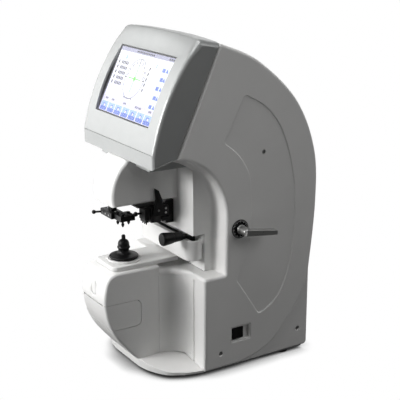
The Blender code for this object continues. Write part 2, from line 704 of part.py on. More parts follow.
def lens_table():
    """A thick straight bar whose two round ends curl back towards the column."""
    centre = (TABLE_HALF - TABLE_RADIUS, TABLE_FRONT_Y + TABLE_RADIUS)
    inner_radius = TABLE_RADIUS - 2.4
    bar_back = math.degrees(math.asin((TABLE_WALL - TABLE_RADIUS) / inner_radius))
    outer = arc(centre, TABLE_RADIUS, 30, -90, 6)
    inner = arc(centre, inner_radius, bar_back, 30, 4)
    outline = [*outer, *[(-x, y) for x, y in reversed(outer)], *[(-x, y) for x, y in reversed(inner)], *inner]
    return finish(prism(outline, TABLE_BOTTOM, TABLE_TOP, "Z"), WHITE, "lens_table")


def table_slide():
    """Rail behind the bar, and the fork: two prongs that guide it in the column, and the rack's bracket."""
    rail = box((-56.0, TABLE_FRONT_Y + TABLE_WALL + GAP, 158.0), (56.0, RAIL_BACK_Y, 181.0))
    finish(rail, BLACK, "table_rail", curved=False)
    fork = box((-54.0, 95.0, 157.0), (54.0, FORK_BACK_Y, 173.0))
    for x in (-ROD_X, ROD_X):
        prong = cylinder(ROD_RADIUS, (x, RAIL_BACK_Y + GAP, ROD_Z), (x, FORK_BACK_Y - 2.0, ROD_Z), 20)
        fork = plus(fork, prong)
    top = PINION_Z + PINION_RADIUS + RACK_TOP + GAP
    hook = [(40.0, 165.0), (52.0, 165.0), (52.0, top), (61.0, top), (61.0, top + 4.0), (40.0, top + 4.0)]
    bracket = prism(hook, FORK_BACK_Y - 7.0, FORK_BACK_Y - 1.0, "Y")
    finish(plus(fork, bracket), STEEL, "table_fork")


def rack_teeth(count, y_start, z_pitch):
    """Side view of a rack whose teeth point down, from its first tooth backwards."""
    pitch = math.pi * MODULE
    half = pitch / 4.0 - 0.12
    slope = math.tan(math.radians(20.0))
    tip, root = MODULE * 0.95, MODULE * 1.25
    points = []
    for i in range(count):
        centre = y_start + pitch * i
        points += [(centre - half - root * slope, z_pitch + root),
                   (centre - half + tip * slope, z_pitch - tip),
                   (centre + half - tip * slope, z_pitch - tip),
                   (centre + half + root * slope, z_pitch + root)]
    return points


def table_rack():
    """The rack over the pinion, screwed to the fork's bracket."""
    z_pitch = PINION_Z + PINION_RADIUS
    pitch = math.pi * MODULE
    teeth = rack_teeth(12, PINION_Y - 2.0 * pitch, z_pitch)
    back = FORK_BACK_Y + 0.5
    front = teeth[0][0] - 3.0
    outline = [(front, z_pitch + MODULE * 1.25), *teeth, (back, z_pitch + MODULE * 1.25),
               (back, z_pitch + RACK_TOP), (front, z_pitch + RACK_TOP)]
    rack = prism(outline, RACK_X - 3.0, RACK_X + 3.0)
    return finish(rack, BRASS, "table_rack")


def pinion_outline(backlash):
    """Involute teeth of the pinion, a tooth gap pointing straight up."""
    base = PINION_RADIUS * math.cos(math.radians(20.0))
    outer = PINION_RADIUS + MODULE * 0.95
    root = PINION_RADIUS - MODULE * 1.25
    spread = math.tan(math.radians(20.0)) - math.radians(20.0)
    half = math.pi / (2.0 * PINION_TEETH) - backlash / PINION_RADIUS + spread
    points = []
    for tooth in range(PINION_TEETH):
        middle = math.pi / 2.0 + math.pi / PINION_TEETH + 2.0 * math.pi * tooth / PINION_TEETH
        flank = []
        for i in range(3):
            radius = base + (outer - base) * i / 2.0
            roll = math.sqrt(max((radius / base) ** 2 - 1.0, 0.0))
            flank.append((radius, half - (roll - math.atan(roll))))
        flank.insert(0, (root, flank[0][1]))
        turns = [(r, middle - a) for r, a in flank] + [(r, middle + a) for r, a in reversed(flank)]
        points += [(PINION_Y + r * math.cos(a), PINION_Z + r * math.sin(a)) for r, a in turns]
    return points


# ---- side lever -----------------------------------------------------------------------------------
LEVER_TIP = (102.5, 193.5)


def side_lever():
    hub_out = LEVER_REACH - 4.0
    bar_in, bar_out = LEVER_REACH - 9.0, LEVER_REACH
    hub = cylinder(6.0, (BODY_HALF + 2.6, PINION_Y, PINION_Z), (hub_out, PINION_Y, PINION_Z), 28)
    direction = Vector((LEVER_TIP[0] - PINION_Y, LEVER_TIP[1] - PINION_Z))
    side = Vector((-direction.y, direction.x)).normalized()
    start = Vector((PINION_Y, PINION_Z)) - direction.normalized() * 4.0
    tip = Vector(LEVER_TIP)
    bar = prism([tuple(start - side * 4.6), tuple(tip - side * 3.6), tuple(tip + side * 3.6),
                 tuple(start + side * 4.6)], bar_in, bar_out)
    lever = plus(hub, rounded(bar, 1.2, 2, 60.0))
    finish(lever, SILVER, "lever_handle")
    dial = turned([(13.2, 1.4), (13.2, 0.3), (4.8, 0.3), (4.8, 1.4)], 28)
    dial.data.transform(Matrix.Rotation(math.radians(90.0), 4, "Y"))
    finish(dial, BLACK, "lever_dial", (BODY_HALF, PINION_Y, PINION_Z))
    shaft = cylinder(3.5, (44.0, PINION_Y, PINION_Z), (BODY_HALF + 2.3, PINION_Y, PINION_Z), 24)
    finish(shaft, STEEL, "lever_shaft")
    pinion = prism(pinion_outline(0.14), RACK_X - 4.0, RACK_X + 4.0)
    pinion = minus(pinion, cylinder(3.85, (40.0, PINION_Y, PINION_Z), (80.0, PINION_Y, PINION_Z), 24))
    finish(pinion, BRASS, "lever_pinion")
    bush = minus(cylinder(7.0, (74.0, PINION_Y, PINION_Z), (82.0, PINION_Y, PINION_Z), 24),
                 cylinder(3.56, (60.0, PINION_Y, PINION_Z), (90.0, PINION_Y, PINION_Z), 24))
    finish(bush, BRASS, "lever_bush")


def pd_slider():
    """The knob that is pushed along the lens table, on its flat stem and saddle."""
    knob = turned([(0.0, 31.0), (7.0, 31.0), (8.4, 29.6), (8.6, 27.0), (7.0, 14.0), (6.2, 0.0),
                   (0.0, 0.0)], 20)
    knob.data.transform(Matrix.Rotation(math.radians(90.0), 4, "X"))
    knob.data.transform(Matrix.Translation(mm(KNOB_X, TABLE_FRONT_Y - 1.0, KNOB_Z)))
    stem = box((KNOB_X - 4.0, -9.0, TABLE_TOP + 0.5), (KNOB_X + 4.0, 11.0, TABLE_TOP + 4.5))
    saddle = box((KNOB_X - 5.0, RAIL_BACK_Y + 0.4, 172.0), (KNOB_X + 5.0, 12.5, TABLE_TOP + 4.5))
    return finish(plus(knob, stem, saddle), BLACK, "pd_knob")


# ---- lens retainer --------------------------------------------------------------------------------
PIN_RING = 8.5
PIN_ANGLES = (-30.0, 90.0, 210.0)
PIN_TIP_Z = 198.0
RETAINER_LOW, RETAINER_HIGH = 206.5, 214.0


def retainer():
    """Block, arm and pin holder that press a lens down on the nosepiece."""
    block = rounded(box((-44.0, -82.0, 205.5), (-9.0, -63.0, 214.5)), 1.5, 2)
    holder = box((-10.0, -78.0, RETAINER_LOW), (11.5, -56.0, RETAINER_HIGH))
    window = cylinder(3.6, (0.0, AXIS_Y, 200.0), (0.0, AXIS_Y, 220.0), 20)
    post = box((-30.0, -76.0, 212.0), (-20.0, -68.0, 226.5))
    arm = box((-29.0, -75.0, 222.0), (-21.0, -10.0, 230.0))
    riser = box((-31.0, -14.5, 216.0), (-21.0, -8.5, 229.0))
    body = plus(block, holder, post, arm, riser)
    body = minus(body, window)
    for x, y in pin_spots():
        body = minus(body, cylinder(1.9, (x, y, 200.0), (x, y, 220.0), 16))
    body = minus(body, cylinder(1.75, (-26.0, -11.5, 205.0), (-26.0, -11.5, 235.0), 16))
    grip = plus(cylinder(1.5, (-38.0, -80.0, 210.0), (-45.0, -90.0, 209.0), 12),
                sphere(3.0, (-45.6, -90.8, 208.9), 12))
    finish(plus(body, grip), BLACK, "retainer_block")


def pin_spots():
    return [(PIN_RING * math.cos(math.radians(a)), AXIS_Y + PIN_RING * math.sin(math.radians(a)))
            for a in PIN_ANGLES]


def retainer_pins():
    """Three sprung pins with round rubber-like tips."""
    for number, (x, y) in enumerate(pin_spots(), 1):
        pin = turned([(0.0, 216.5), (2.6, 216.3), (2.6, 214.6), (1.5, 214.4), (1.5, 203.2), (2.1, 202.8),
                      (2.1, 200.6), (1.3, 200.0), (1.3, PIN_TIP_Z + 0.5), (0.0, PIN_TIP_Z)], 14)
        finish(pin, BLACK, "retainer_pin_%d" % number, (x, y, 0.0))


def retainer_guide():
    """The fixed rod on the column that the retainer's arm runs on, with its two ears."""
    rod = cylinder(1.6, (-26.0, -11.5, 198.0), (-26.0, -11.5, 233.0), 16)
    lower = box((-31.0, -14.0, 199.0), (-21.0, -GAP, 202.0))
    upper = box((-28.6, -14.0, 231.0), (-23.4, -GAP, 233.6))
    return finish(plus(lower, rod, upper), BLACK, "retainer_guide")


# ---- marking unit ---------------------------------------------------------------------------------
MARKER_PENS = (16.0, 21.0, 26.0)
MARKER_RODS = ((15.6, 217.0), (15.6, 223.6))


def marking_unit():
    """The fixed base with its two rods, the carriage that slides forward on them and the head that dips."""
    base = plus(box((6.0, -13.0, 197.0), (20.0, -GAP, 230.0)),
                box((10.0, -25.0, 205.0), (31.0, -12.0, 210.0)),
                *[cylinder(1.3, (x, -12.0, z), (x, -41.0, z), 16) for x, z in MARKER_RODS])
    finish(base, BLACK, "marker_base")
    ride = rounded(box((12.2, -42.0, 213.0), (31.5, -14.0, 227.0)), 1.2, 2)
    plate = box((12.4, -62.0, 229.0), (31.0, -20.0, 231.0))
    post = box((13.0, -40.0, 226.0), (20.0, -24.0, 229.5))
    foot = box((13.4, -41.5, 205.0), (31.0, -26.5, 214.0))
    fin = prism([(-40.0, 216.0), (-24.5, 216.0), (-25.5, 236.0), (-31.0, 250.0), (-36.5, 253.5),
                 (-35.0, 238.0)], 31.0, 34.4)
    ride = plus(ride, plate, post, foot, fin)
    for x, z in MARKER_RODS:
        ride = minus(ride, cylinder(1.7, (x, -10.0, z), (x, -45.0, z), 16))
    finish(ride, BLACK, "marker_carriage")
    dipper = rounded(box((12.5, -50.5, 209.0), (30.0, -42.6, 225.0)), 1.0, 2)
    foot = box((13.5, -49.0, 205.5), (28.5, -44.0, 210.0))
    knob = plus(cylinder(1.6, (18.0, -48.0, 217.0), (18.0, -56.0, 217.0), 12),
                sphere(3.4, (18.0, -58.5, 217.0), 12))
    pens = [cylinder(0.6, (x, -46.5, 202.0), (x, -46.5, 207.0), 12, 1.8) for x in MARKER_PENS]
    finish(plus(dipper, foot, knob, *pens), BLACK, "marker_head")


# ---- switch, sockets and screws -------------------------------------------------------------------
def power_switch():
    """The recess in the right cover with a black rocker and a blanking step beside it."""
    y, z = SWITCH_CENTRE
    frame = prism(corner_box(SWITCH_HALF[0] - GAP, SWITCH_HALF[1] - GAP, 1.8, SWITCH_CENTRE, 2),
                  BODY_HALF - 12.0, BODY_HALF - 0.6)
    frame = minus(frame, box((BODY_HALF - 5.5, y - 14.6, z - 9.6), (BODY_HALF + 1.0, y + 14.6, z + 9.6)),
                  box((BODY_HALF - 10.0, y - 14.0, z - 8.5), (BODY_HALF - 2.0, y + 6.0, z + 8.5)))
    finish(frame, WHITE, "switch_bezel")
    rocker = prism([(-1.6, -9.3), (3.9, -9.3), (3.1, 0.0), (3.9, 9.3), (-1.6, 9.3)], -7.8, 7.8, "Z")
    rocker.data.transform(Matrix.Rotation(math.radians(ROCKER_TILT), 4, "Z"))
    return finish(rocker, BLACK, "power_rocker", (BODY_HALF - 5.4, y - 4.0, z))


def rear_sockets():
    inlet = box((INLET_X - 13.6, REAR_Y - 20.0, INLET_Z - 10.1),
                (INLET_X + 13.6, REAR_Y - 0.5, INLET_Z + 10.1))
    inlet = minus(inlet, box((INLET_X - 11.0, REAR_Y - 16.0, INLET_Z - 7.5),
                             (INLET_X + 11.0, REAR_Y + 2.0, INLET_Z + 7.5)))
    pins = [box((INLET_X + dx - 1.0, REAR_Y - 17.0, INLET_Z + dz - 2.0),
                (INLET_X + dx + 1.0, REAR_Y - 5.0, INLET_Z + dz + 2.0))
            for dx, dz in ((-6.0, 2.0), (0.0, -2.0), (6.0, 2.0))]
    finish(plus(inlet, *pins), BLACK, "power_inlet", curved=False)
    port = box((PORT_X - 15.6, REAR_Y - 12.0, PORT_Z - 6.1), (PORT_X + 15.6, REAR_Y - 0.8, PORT_Z + 6.1))
    mouth = box((PORT_X - 9.0, REAR_Y - 7.0, PORT_Z - 4.0), (PORT_X + 9.0, REAR_Y + 2.0, PORT_Z + 4.0))
    port = minus(port, mouth)
    finish(port, STEEL, "data_port", curved=False)


def cover_screws():
    """The six screws at the bottom of the side covers' and rear block's recessed holes."""
    spots = [("upper", BODY_HALF, COVER_SCREWS[0]), ("front", BODY_HALF, COVER_SCREWS[1]),
             ("rear", REAR_HALF, BLOCK_SCREW)]
    for hand, side in (("left", -1.0), ("right", 1.0)):
        for name, half, (y, z) in spots:
            face = side * (half - WALL - 0.4)
            screw = cylinder(2.6, (face, y, z), (face + side * 1.4, y, z), 14)
            finish(screw, STEEL, "cover_screw_%s_%s" % (hand, name))


# ---- inside ---------------------------------------------------------------------------------------
def chassis():
    """Bent sheet frame: an upright across the body with a foot along the base."""
    upright = box((-64.0, 116.0, 2.0), (64.0, 116.0 + SHEET, 300.0))
    foot = box((-64.0, 40.0, 2.0), (64.0, 116.5, 2.0 + SHEET))
    left = box((-64.0, 60.0, 2.5), (-64.0 + SHEET, 116.5, 140.0))
    right = box((64.0 - SHEET, 60.0, 2.5), (64.0, 116.5, 140.0))
    return finish(plus(upright, foot, left, right), SHEET_METAL, "chassis_frame", curved=False)


def boards():
    main = box((-50.0, 121.0, 130.0), (50.0, 121.0 + SHEET, 280.0))
    finish(main, BOARD, "main_board", curved=False)
    supply = box((-60.0, 122.0, 60.0), (20.0, 162.0, 118.0))
    finish(rounded(supply, 1.0, 1), SHEET_METAL, "power_supply", curved=False)
    lamp = cylinder(12.0, (0.0, AXIS_Y, 280.0), (0.0, AXIS_Y, 282.0), 28)
    finish(lamp, BOARD, "lamp_board")


def optics():
    barrel = turned([(9.0, 279.6), (13.0, 279.6), (13.0, 240.0), (9.0, 240.0)], 24)
    finish(barrel, BLACK, "collimator_barrel", (0.0, AXIS_Y, 0.0))
    lens = turned([(0.0, 256.0), (4.5, 255.3), (8.6, 253.0), (8.6, 251.0), (4.5, 248.9), (0.0, 248.2)], 20)
    finish(lens, GLASS, "collimator_lens", (0.0, AXIS_Y, 0.0))
    sensor = plus(box((-14.0, AXIS_Y - 12.0, 104.0), (14.0, AXIS_Y + 12.0, 105.6)),
                  box((-7.0, AXIS_Y - 7.0, 105.0), (7.0, AXIS_Y + 7.0, 108.5)))
    finish(sensor, BOARD, "sensor_board", curved=False)


ROLL_RADIUS = 19.0
ROLL_Y, ROLL_Z = -80.0, 81.0


def printer():
    roll = minus(cylinder(ROLL_RADIUS, (-28.5, ROLL_Y, ROLL_Z), (28.5, ROLL_Y, ROLL_Z), 36),
                 cylinder(6.2, (-40.0, ROLL_Y, ROLL_Z), (40.0, ROLL_Y, ROLL_Z), 28))
    finish(roll, PAPER, "paper_roll")
    head = rounded(box((-31.0, -57.0, 66.0), (31.0, -42.0, 96.0)), 1.0, 1)
    finish(head, BLACK, "print_mechanism", curved=False)


# ---- assembly -------------------------------------------------------------------------------------
base_plate()
feet()
base_tray()
for hand in (1, -1):
    side_cover(hand)
rear_base_cover()
spine_cover()
front_base_cover()
lower_front_housing()
printer_cover()
print_button()
stage_plate()
nosepiece()
column_cover()
upper_optics_cover()
head_cover()
display()
lens_table()
table_slide()
table_rack()
side_lever()
pd_slider()
retainer()
retainer_pins()
retainer_guide()
marking_unit()
power_switch()
rear_sockets()
cover_screws()
chassis()
boards()
optics()
printer()
bpy.context.view_layer.update()
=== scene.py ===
"""Auto lensmeter: the fine surfaces, materials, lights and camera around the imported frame.

Pieces are made in millimetres in the body frame (X across, Y from the lower body's front face to the
back, Z up from the covers' lower edge) and turned into the frame's metres by piece().
"""

import json
import math

import bmesh
import bpy
from mathutils import Matrix, Vector


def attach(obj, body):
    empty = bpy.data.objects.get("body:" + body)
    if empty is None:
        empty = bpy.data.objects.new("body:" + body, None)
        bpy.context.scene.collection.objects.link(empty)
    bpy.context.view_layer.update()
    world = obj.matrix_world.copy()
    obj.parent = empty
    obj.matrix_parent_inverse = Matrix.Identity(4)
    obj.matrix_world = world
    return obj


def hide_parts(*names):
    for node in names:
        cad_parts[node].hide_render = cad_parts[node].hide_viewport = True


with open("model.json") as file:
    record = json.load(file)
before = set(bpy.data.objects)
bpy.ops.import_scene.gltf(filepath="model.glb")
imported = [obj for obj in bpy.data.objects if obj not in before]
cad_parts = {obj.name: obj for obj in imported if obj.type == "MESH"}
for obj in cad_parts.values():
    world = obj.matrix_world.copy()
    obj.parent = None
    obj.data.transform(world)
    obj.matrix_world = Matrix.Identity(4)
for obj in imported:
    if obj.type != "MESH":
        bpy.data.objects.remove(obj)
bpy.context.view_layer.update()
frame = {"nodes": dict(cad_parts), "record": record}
ORIGIN = Vector((-12.0, -34.2, 6.0))


# ---- materials ----
def nodes_of(name):
    """A new material with its node tree and its shader."""
    made = bpy.data.materials.new(name)
    made.use_nodes = True
    tree = made.node_tree
    return made, tree, tree.nodes["Principled BSDF"]


def add(tree, kind, links=(), **values):
    """A shader node with its input values set and its sockets linked."""
    node = tree.nodes.new(kind)
    for key, value in values.items():
        if key in node.inputs.keys():
            node.inputs[key].default_value = value
        else:
            setattr(node, key, value)
    for target, source in links:
        tree.links.new(source, node.inputs[target])
    return node


def ramp(tree, source, low, high, ends=(0.0, 1.0)):
    """A colour that runs from low to high as a value goes from one end to the other."""
    node = add(tree, "ShaderNodeValToRGB", [("Fac", source)])
    for stop, colour, at in zip(node.color_ramp.elements, (low, high), ends):
        stop.position, stop.color = at, (*colour, 1.0)
    return node.outputs["Color"]


def mapped(tree, source, low, high, ends=(0.0, 1.0)):
    """A value stretched to run from low to high as the source goes from one end to the other."""
    node = add(tree, "ShaderNodeMapRange", [("Value", source)])
    for key, value in zip(("From Min", "From Max", "To Min", "To Max"), (*ends, low, high)):
        node.inputs[key].default_value = value
    return node.outputs["Result"]


def noise(tree, spot, scale, **values):
    return add(tree, "ShaderNodeTexNoise", [("Vector", spot)], Scale=scale, **values).outputs["Fac"]


def dress(tree, shader, links, **values):
    """Links and values on the material's own shader, values under names without spaces."""
    for target, source in links.items():
        tree.links.new(source, shader.inputs[target])
    for key, value in values.items():
        shader.inputs[key.replace("_", " ")].default_value = value


def object_spot(tree):
    return add(tree, "ShaderNodeTexCoord").outputs["Object"]


def relief(tree, source, strength, depth):
    node = add(tree, "ShaderNodeBump", [("Height", source)], Strength=strength, Distance=depth)
    return node.outputs["Normal"]


def moulded(name, colour, rough=(0.40, 0.52), grain=2600.0, bump=0.05, tint=0.03, metallic=0.0, spec=0.5):
    """Moulded or painted surface: fine spark-eroded grain, soft mottling and uneven gloss."""
    made, tree, shader = nodes_of(name)
    spot = object_spot(tree)
    fine = noise(tree, spot, grain, Detail=3.0, Roughness=0.6)
    wide = noise(tree, spot, 14.0, Detail=5.0, Roughness=0.55)
    smear = noise(tree, spot, 90.0, Detail=4.0, Roughness=0.7)
    dark, light = [c * (1.0 - tint) for c in colour], [min(1.0, c * (1.0 + tint * 0.6)) for c in colour]
    dress(tree, shader, {"Base Color": ramp(tree, wide, dark, light, (0.30, 0.70)),
                         "Roughness": mapped(tree, smear, *rough, (0.3, 0.7)),
                         "Normal": relief(tree, fine, bump, 0.0002)},
          Metallic=metallic, Specular_IOR_Level=spec)
    return made


def brushed(name, colour, along):
    """Metal with fine drawn lines along one axis."""
    made, tree, shader = nodes_of(name)
    scale = [1400.0, 1400.0, 1400.0]
    scale[along] = 40.0
    stretched = add(tree, "ShaderNodeMapping", [("Vector", object_spot(tree))], Scale=scale)
    lines = noise(tree, stretched.outputs["Vector"], 1.0, Detail=3.0)
    dress(tree, shader, {"Base Color": ramp(tree, lines, [c * 0.82 for c in colour], colour),
                         "Roughness": mapped(tree, lines, 0.22, 0.40),
                         "Normal": relief(tree, lines, 0.08, 0.0001)}, Metallic=1.0)
    return made


def board_material(name):
    """Green solder mask with copper tracks and pads."""
    made, tree, shader = nodes_of(name)
    spot = object_spot(tree)
    tracks = add(tree, "ShaderNodeTexBrick", [("Vector", spot)], Scale=160.0, Color1=(0.012, 0.12, 0.045, 1.0),
                 Color2=(0.02, 0.17, 0.06, 1.0), Mortar=(0.10, 0.30, 0.10, 1.0))
    dress(tree, shader, {"Base Color": tracks.outputs["Color"],
                         "Roughness": mapped(tree, noise(tree, spot, 300.0), 0.25, 0.45)})
    return made


def lit(name, colour, strength=1.0, foot=None):
    """A patch of the lit display, faintly uneven; foot is the colour it fades to lower down."""
    made, tree, shader = nodes_of(name)
    spot = object_spot(tree)
    if foot:
        height = add(tree, "ShaderNodeSeparateXYZ", [("Vector", spot)]).outputs["Z"]
        cells = mapped(tree, height, 0.0, 1.0, (0.36, 0.43))
    else:
        cells = noise(tree, spot, 900.0, Detail=1.0)
    dress(tree, shader, {"Emission Color": ramp(tree, cells, foot or [c * 0.93 for c in colour], colour)},
          Base_Color=(*[c * 0.2 for c in colour], 1.0), Emission_Strength=strength, Roughness=0.3)
    return made


def glazing(name):
    """Thin clear cover: mostly see-through, with a soft surface reflection."""
    made, tree, shader = nodes_of(name)
    haze = noise(tree, object_spot(tree), 40.0, Detail=3.0)
    dress(tree, shader, {"Roughness": mapped(tree, haze, 0.05, 0.12)}, Base_Color=(0.95, 0.97, 1.0, 1.0),
          Alpha=0.06)
    return made


WHITE = moulded("white_plastic", (0.80, 0.797, 0.785))
GREY = moulded("grey_plastic", (0.42, 0.43, 0.426), rough=(0.34, 0.46), tint=0.04, metallic=0.45)
BLACK = moulded("black_plastic", (0.0052, 0.0052, 0.0056), rough=(0.32, 0.5), grain=1800.0, bump=0.08,
                spec=0.24)
RUBBER = moulded("rubber", (0.016, 0.016, 0.017), rough=(0.6, 0.85), grain=1200.0, bump=0.15, spec=0.25)
SILVER = brushed("silver_metal", (0.63, 0.63, 0.62), 1)
STEEL = brushed("steel", (0.50, 0.50, 0.50), 1)
BRASS = brushed("brass", (0.78, 0.60, 0.28), 0)
SHEET = moulded("sheet_metal", (0.46, 0.47, 0.48), rough=(0.3, 0.5), grain=400.0, metallic=0.9)
BOARD = board_material("circuit_board")
PAPER = moulded("paper", (0.86, 0.85, 0.82), rough=(0.8, 0.95), grain=900.0, bump=0.2, spec=0.2)
GLASS = glazing("glass")
SLOTS = {"white_plastic": WHITE, "grey_plastic": GREY, "black_plastic": BLACK, "rubber": RUBBER,
         "screen": BLACK, "glass": GLASS, "silver_metal": SILVER, "steel": STEEL, "sheet_metal": SHEET,
         "brass": BRASS, "circuit_board": BOARD, "paper": PAPER}


# ---- mesh helpers, millimetres ----
def new_object(name, mesh):
    made = bpy.data.objects.new(name, mesh)
    bpy.context.scene.collection.objects.link(made)
    return made


def frozen(thing):
    """The object with its modifiers applied."""
    bpy.context.view_layer.update()
    mesh = bpy.data.meshes.new_from_object(thing.evaluated_get(bpy.context.evaluated_depsgraph_get()))
    shape = bmesh.new()
    shape.from_mesh(mesh)
    bmesh.ops.remove_doubles(shape, verts=shape.verts, dist=0.001)
    shape.to_mesh(mesh)
    shape.free()
    made = new_object(thing.name, mesh)
    bpy.data.objects.remove(thing, do_unlink=True)
    return made


def solid(name, spots, faces, weld=0.0, fill=False):
    """A mesh object with its faces turned outward; weld joins points that are nearer than that."""
    mesh = bpy.data.meshes.new(name)
    mesh.from_pydata(spots, [], faces)
    shape = bmesh.new()
    shape.from_mesh(mesh)
    if weld:
        bmesh.ops.remove_doubles(shape, verts=shape.verts, dist=weld)
    if fill:
        bmesh.ops.holes_fill(shape, edges=[e for e in shape.edges if e.is_boundary], sides=0)
    bmesh.ops.recalc_face_normals(shape, faces=shape.faces)
    shape.to_mesh(mesh)
    shape.free()
    return new_object(name, mesh)


PLACE = {"X": lambda u, v, w: (w, u, v), "Y": lambda u, v, w: (u, w, v), "Z": lambda u, v, w: (u, v, w)}


def loft(spots, count):
    """A solid through rows of points, with the same count of points in each row."""
    last = len(spots) - count
    faces = []
    for r in range(0, last, count):
        for i in range(count):
            j = (i + 1) % count
            faces.append((r + i, r + j, r + count + j, r + count + i))
    return solid("loft", spots, [*faces, tuple(range(count)), tuple(range(last, len(spots)))])


def stack(rings, along="X"):
    """A solid through a row of outlines with equal point counts; each ring is (points, height)."""
    return loft([PLACE[along](u, v, height) for points, height in rings for u, v in points], len(rings[0][0]))


def prism(points, low, high, along="X"):
    return stack([(points, low), (points, high)], along)


def box(low, high):
    (left, front, bottom), (right, back, top) = low, high
    return prism([(front, bottom), (back, bottom), (back, top), (front, top)], left, right)


def cylinder(radius, start, end, sides=40, end_radius=None):
    start, end = Vector(start), Vector(end)
    far = radius if end_radius is None else end_radius
    shape = bmesh.new()
    bmesh.ops.create_cone(shape, cap_ends=True, segments=sides, radius1=radius, radius2=far,
                          depth=(end - start).length)
    mesh = bpy.data.meshes.new("cylinder")
    shape.to_mesh(mesh)
    shape.free()
    turn = (end - start).to_track_quat("Z", "Y").to_matrix().to_4x4()
    mesh.transform(Matrix.Translation((start + end) / 2.0) @ turn)
    return new_object("cylinder", mesh)


def turned(profile, steps=56, centre=(0.0, 0.0, 0.0), axis="Z", hollow=False):
    """A solid of revolution from (radius, height) points; a hollow one has a bore, and its profile closes."""
    count = len(profile)
    spots, faces = [], []
    for i in range(steps):
        a = 2.0 * math.pi * i / steps
        spots += [PLACE[axis](r * math.cos(a), r * math.sin(a), h) for r, h in profile]
    for i in range(steps):
        j = (i + 1) % steps
        for k in range(count if hollow else count - 1):
            m = (k + 1) % count
            faces.append((i * count + k, j * count + k, j * count + m, i * count + m))
    made = solid("turned", spots, faces, 1e-4, not hollow)
    made.data.transform(Matrix.Translation(centre))
    return made


def boolean(thing, other, operation):
    cut = thing.modifiers.new("Boolean", "BOOLEAN")
    cut.operation = operation
    cut.solver = "EXACT"
    cut.object = other
    made = frozen(thing)
    bpy.data.objects.remove(other, do_unlink=True)
    return made


def minus(thing, *others):
    for other in others:
        thing = boolean(thing, other, "DIFFERENCE")
    return thing


def plus(thing, *others):
    for other in others:
        thing = boolean(thing, other, "UNION")
    return thing


def common(thing, other):
    return boolean(thing, other, "INTERSECT")


def rounded(thing, width, segments=3, angle=35.0):
    """The shape with its edges sharper than the angle rounded."""
    bevel = thing.modifiers.new("Bevel", "BEVEL")
    bevel.width, bevel.segments = width, segments
    bevel.limit_method, bevel.angle_limit = "ANGLE", math.radians(angle)
    return frozen(thing)


def piece(name, thing, look, body="frame", nodes=(), angle=38.0):
    """Turns a solid into a piece of the model: metres, material, shading and the body it rides on."""
    thing.name = name
    thing.data.name = name
    thing.data.transform(Matrix.Scale(0.001, 4) @ Matrix.Translation(ORIGIN))
    thing.data.materials.clear()
    thing.data.materials.append(look)
    thing.data.shade_smooth()
    thing.data.set_sharp_from_angle(angle=math.radians(angle))
    weigh = thing.modifiers.new("WeightedNormal", "WEIGHTED_NORMAL")
    weigh.keep_sharp = True
    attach(thing, body)
    look.name if look.name in SLOTS else "screen"
    if nodes:
        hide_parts(*nodes)
    return thing


def stand_in(node, thing, look, body="frame", angle=38.0):
    """A piece that replaces the CAD shape of one node."""
    return piece(node + "_fine", thing, look, body, [node], angle)


# ---- outlines ----
def arc(centre, radius, start, end, steps):
    turn = [math.radians(start + (end - start) * i / steps) for i in range(steps + 1)]
    return [(centre[0] + radius * math.cos(a), centre[1] + radius * math.sin(a)) for a in turn]


def smooth(points, steps):
    """A Catmull-Rom curve through the points."""
    ends = [points[0], *points, points[-1]]
    line = []
    for p0, p1, p2, p3 in zip(ends, ends[1:], ends[2:], ends[3:]):
        for i in range(steps):
            t = i / steps
            line.append(tuple(0.5 * (2 * b + (c - a) * t + (2 * a - 5 * b + 4 * c - d) * t * t
                                     + (3 * b - a - 3 * c + d) * t ** 3)
                              for a, b, c, d in zip(p0, p1, p2, p3)))
    return [*line, tuple(points[-1])]


def offset(points, distance):
    """A closed outline moved inward; a negative distance moves it outward."""
    area = sum(a[0] * b[1] - b[0] * a[1] for a, b in zip(points, points[1:] + points[:1]))
    sign = 1.0 if area > 0.0 else -1.0
    moved = []
    for i, here in enumerate(points):
        before, here, after = Vector(points[i - 1]), Vector(here), Vector(points[(i + 1) % len(points)])
        one, two = (here - before).normalized(), (after - here).normalized()
        first, second = Vector((-one.y, one.x)), Vector((-two.y, two.x))
        middle = (first + second).normalized()
        moved.append(tuple(here + middle * distance / max(middle.dot(first), 0.4) * sign))
    return moved


def round_corners(points, steps=6):
    """The closed outline with a round corner at each point that carries a third number, its radius."""
    plain, count = [Vector(p[:2]) for p in points], len(points)

    def walk(i, step, reach):
        """The spot at a distance along the outline from point i, and the points passed on the way."""
        here, passed = plain[i], []
        while True:
            i = (i + step) % count
            length = (plain[i] - here).length
            if length > reach:
                return here + (plain[i] - here) / length * reach, passed
            reach, here = reach - length, plain[i]
            passed.append(i)
    arcs, dropped = {}, set()
    for i, point in enumerate(points):
        if len(point) == 3:
            one, two = plain[i - 1] - plain[i], plain[(i + 1) % count] - plain[i]
            reach = point[2] / math.tan(one.angle(two) / 2.0)
            a, before = walk(i, -1, reach)
            c, after = walk(i, 1, reach)
            pull = [k / steps for k in range(steps + 1)]
            weight = math.sin(one.angle(two) / 2.0)
            arcs[i] = [tuple((a * (1 - t) ** 2 + plain[i] * 2 * t * (1 - t) * weight + c * t * t)
                             / ((1 - t) ** 2 + 2 * t * (1 - t) * weight + t * t)) for t in pull]
            dropped.update(before, after)
    made = []
    for i in range(count):
        if i in arcs:
            made += arcs[i]
        elif i not in dropped:
            made.append(tuple(plain[i]))
    return made


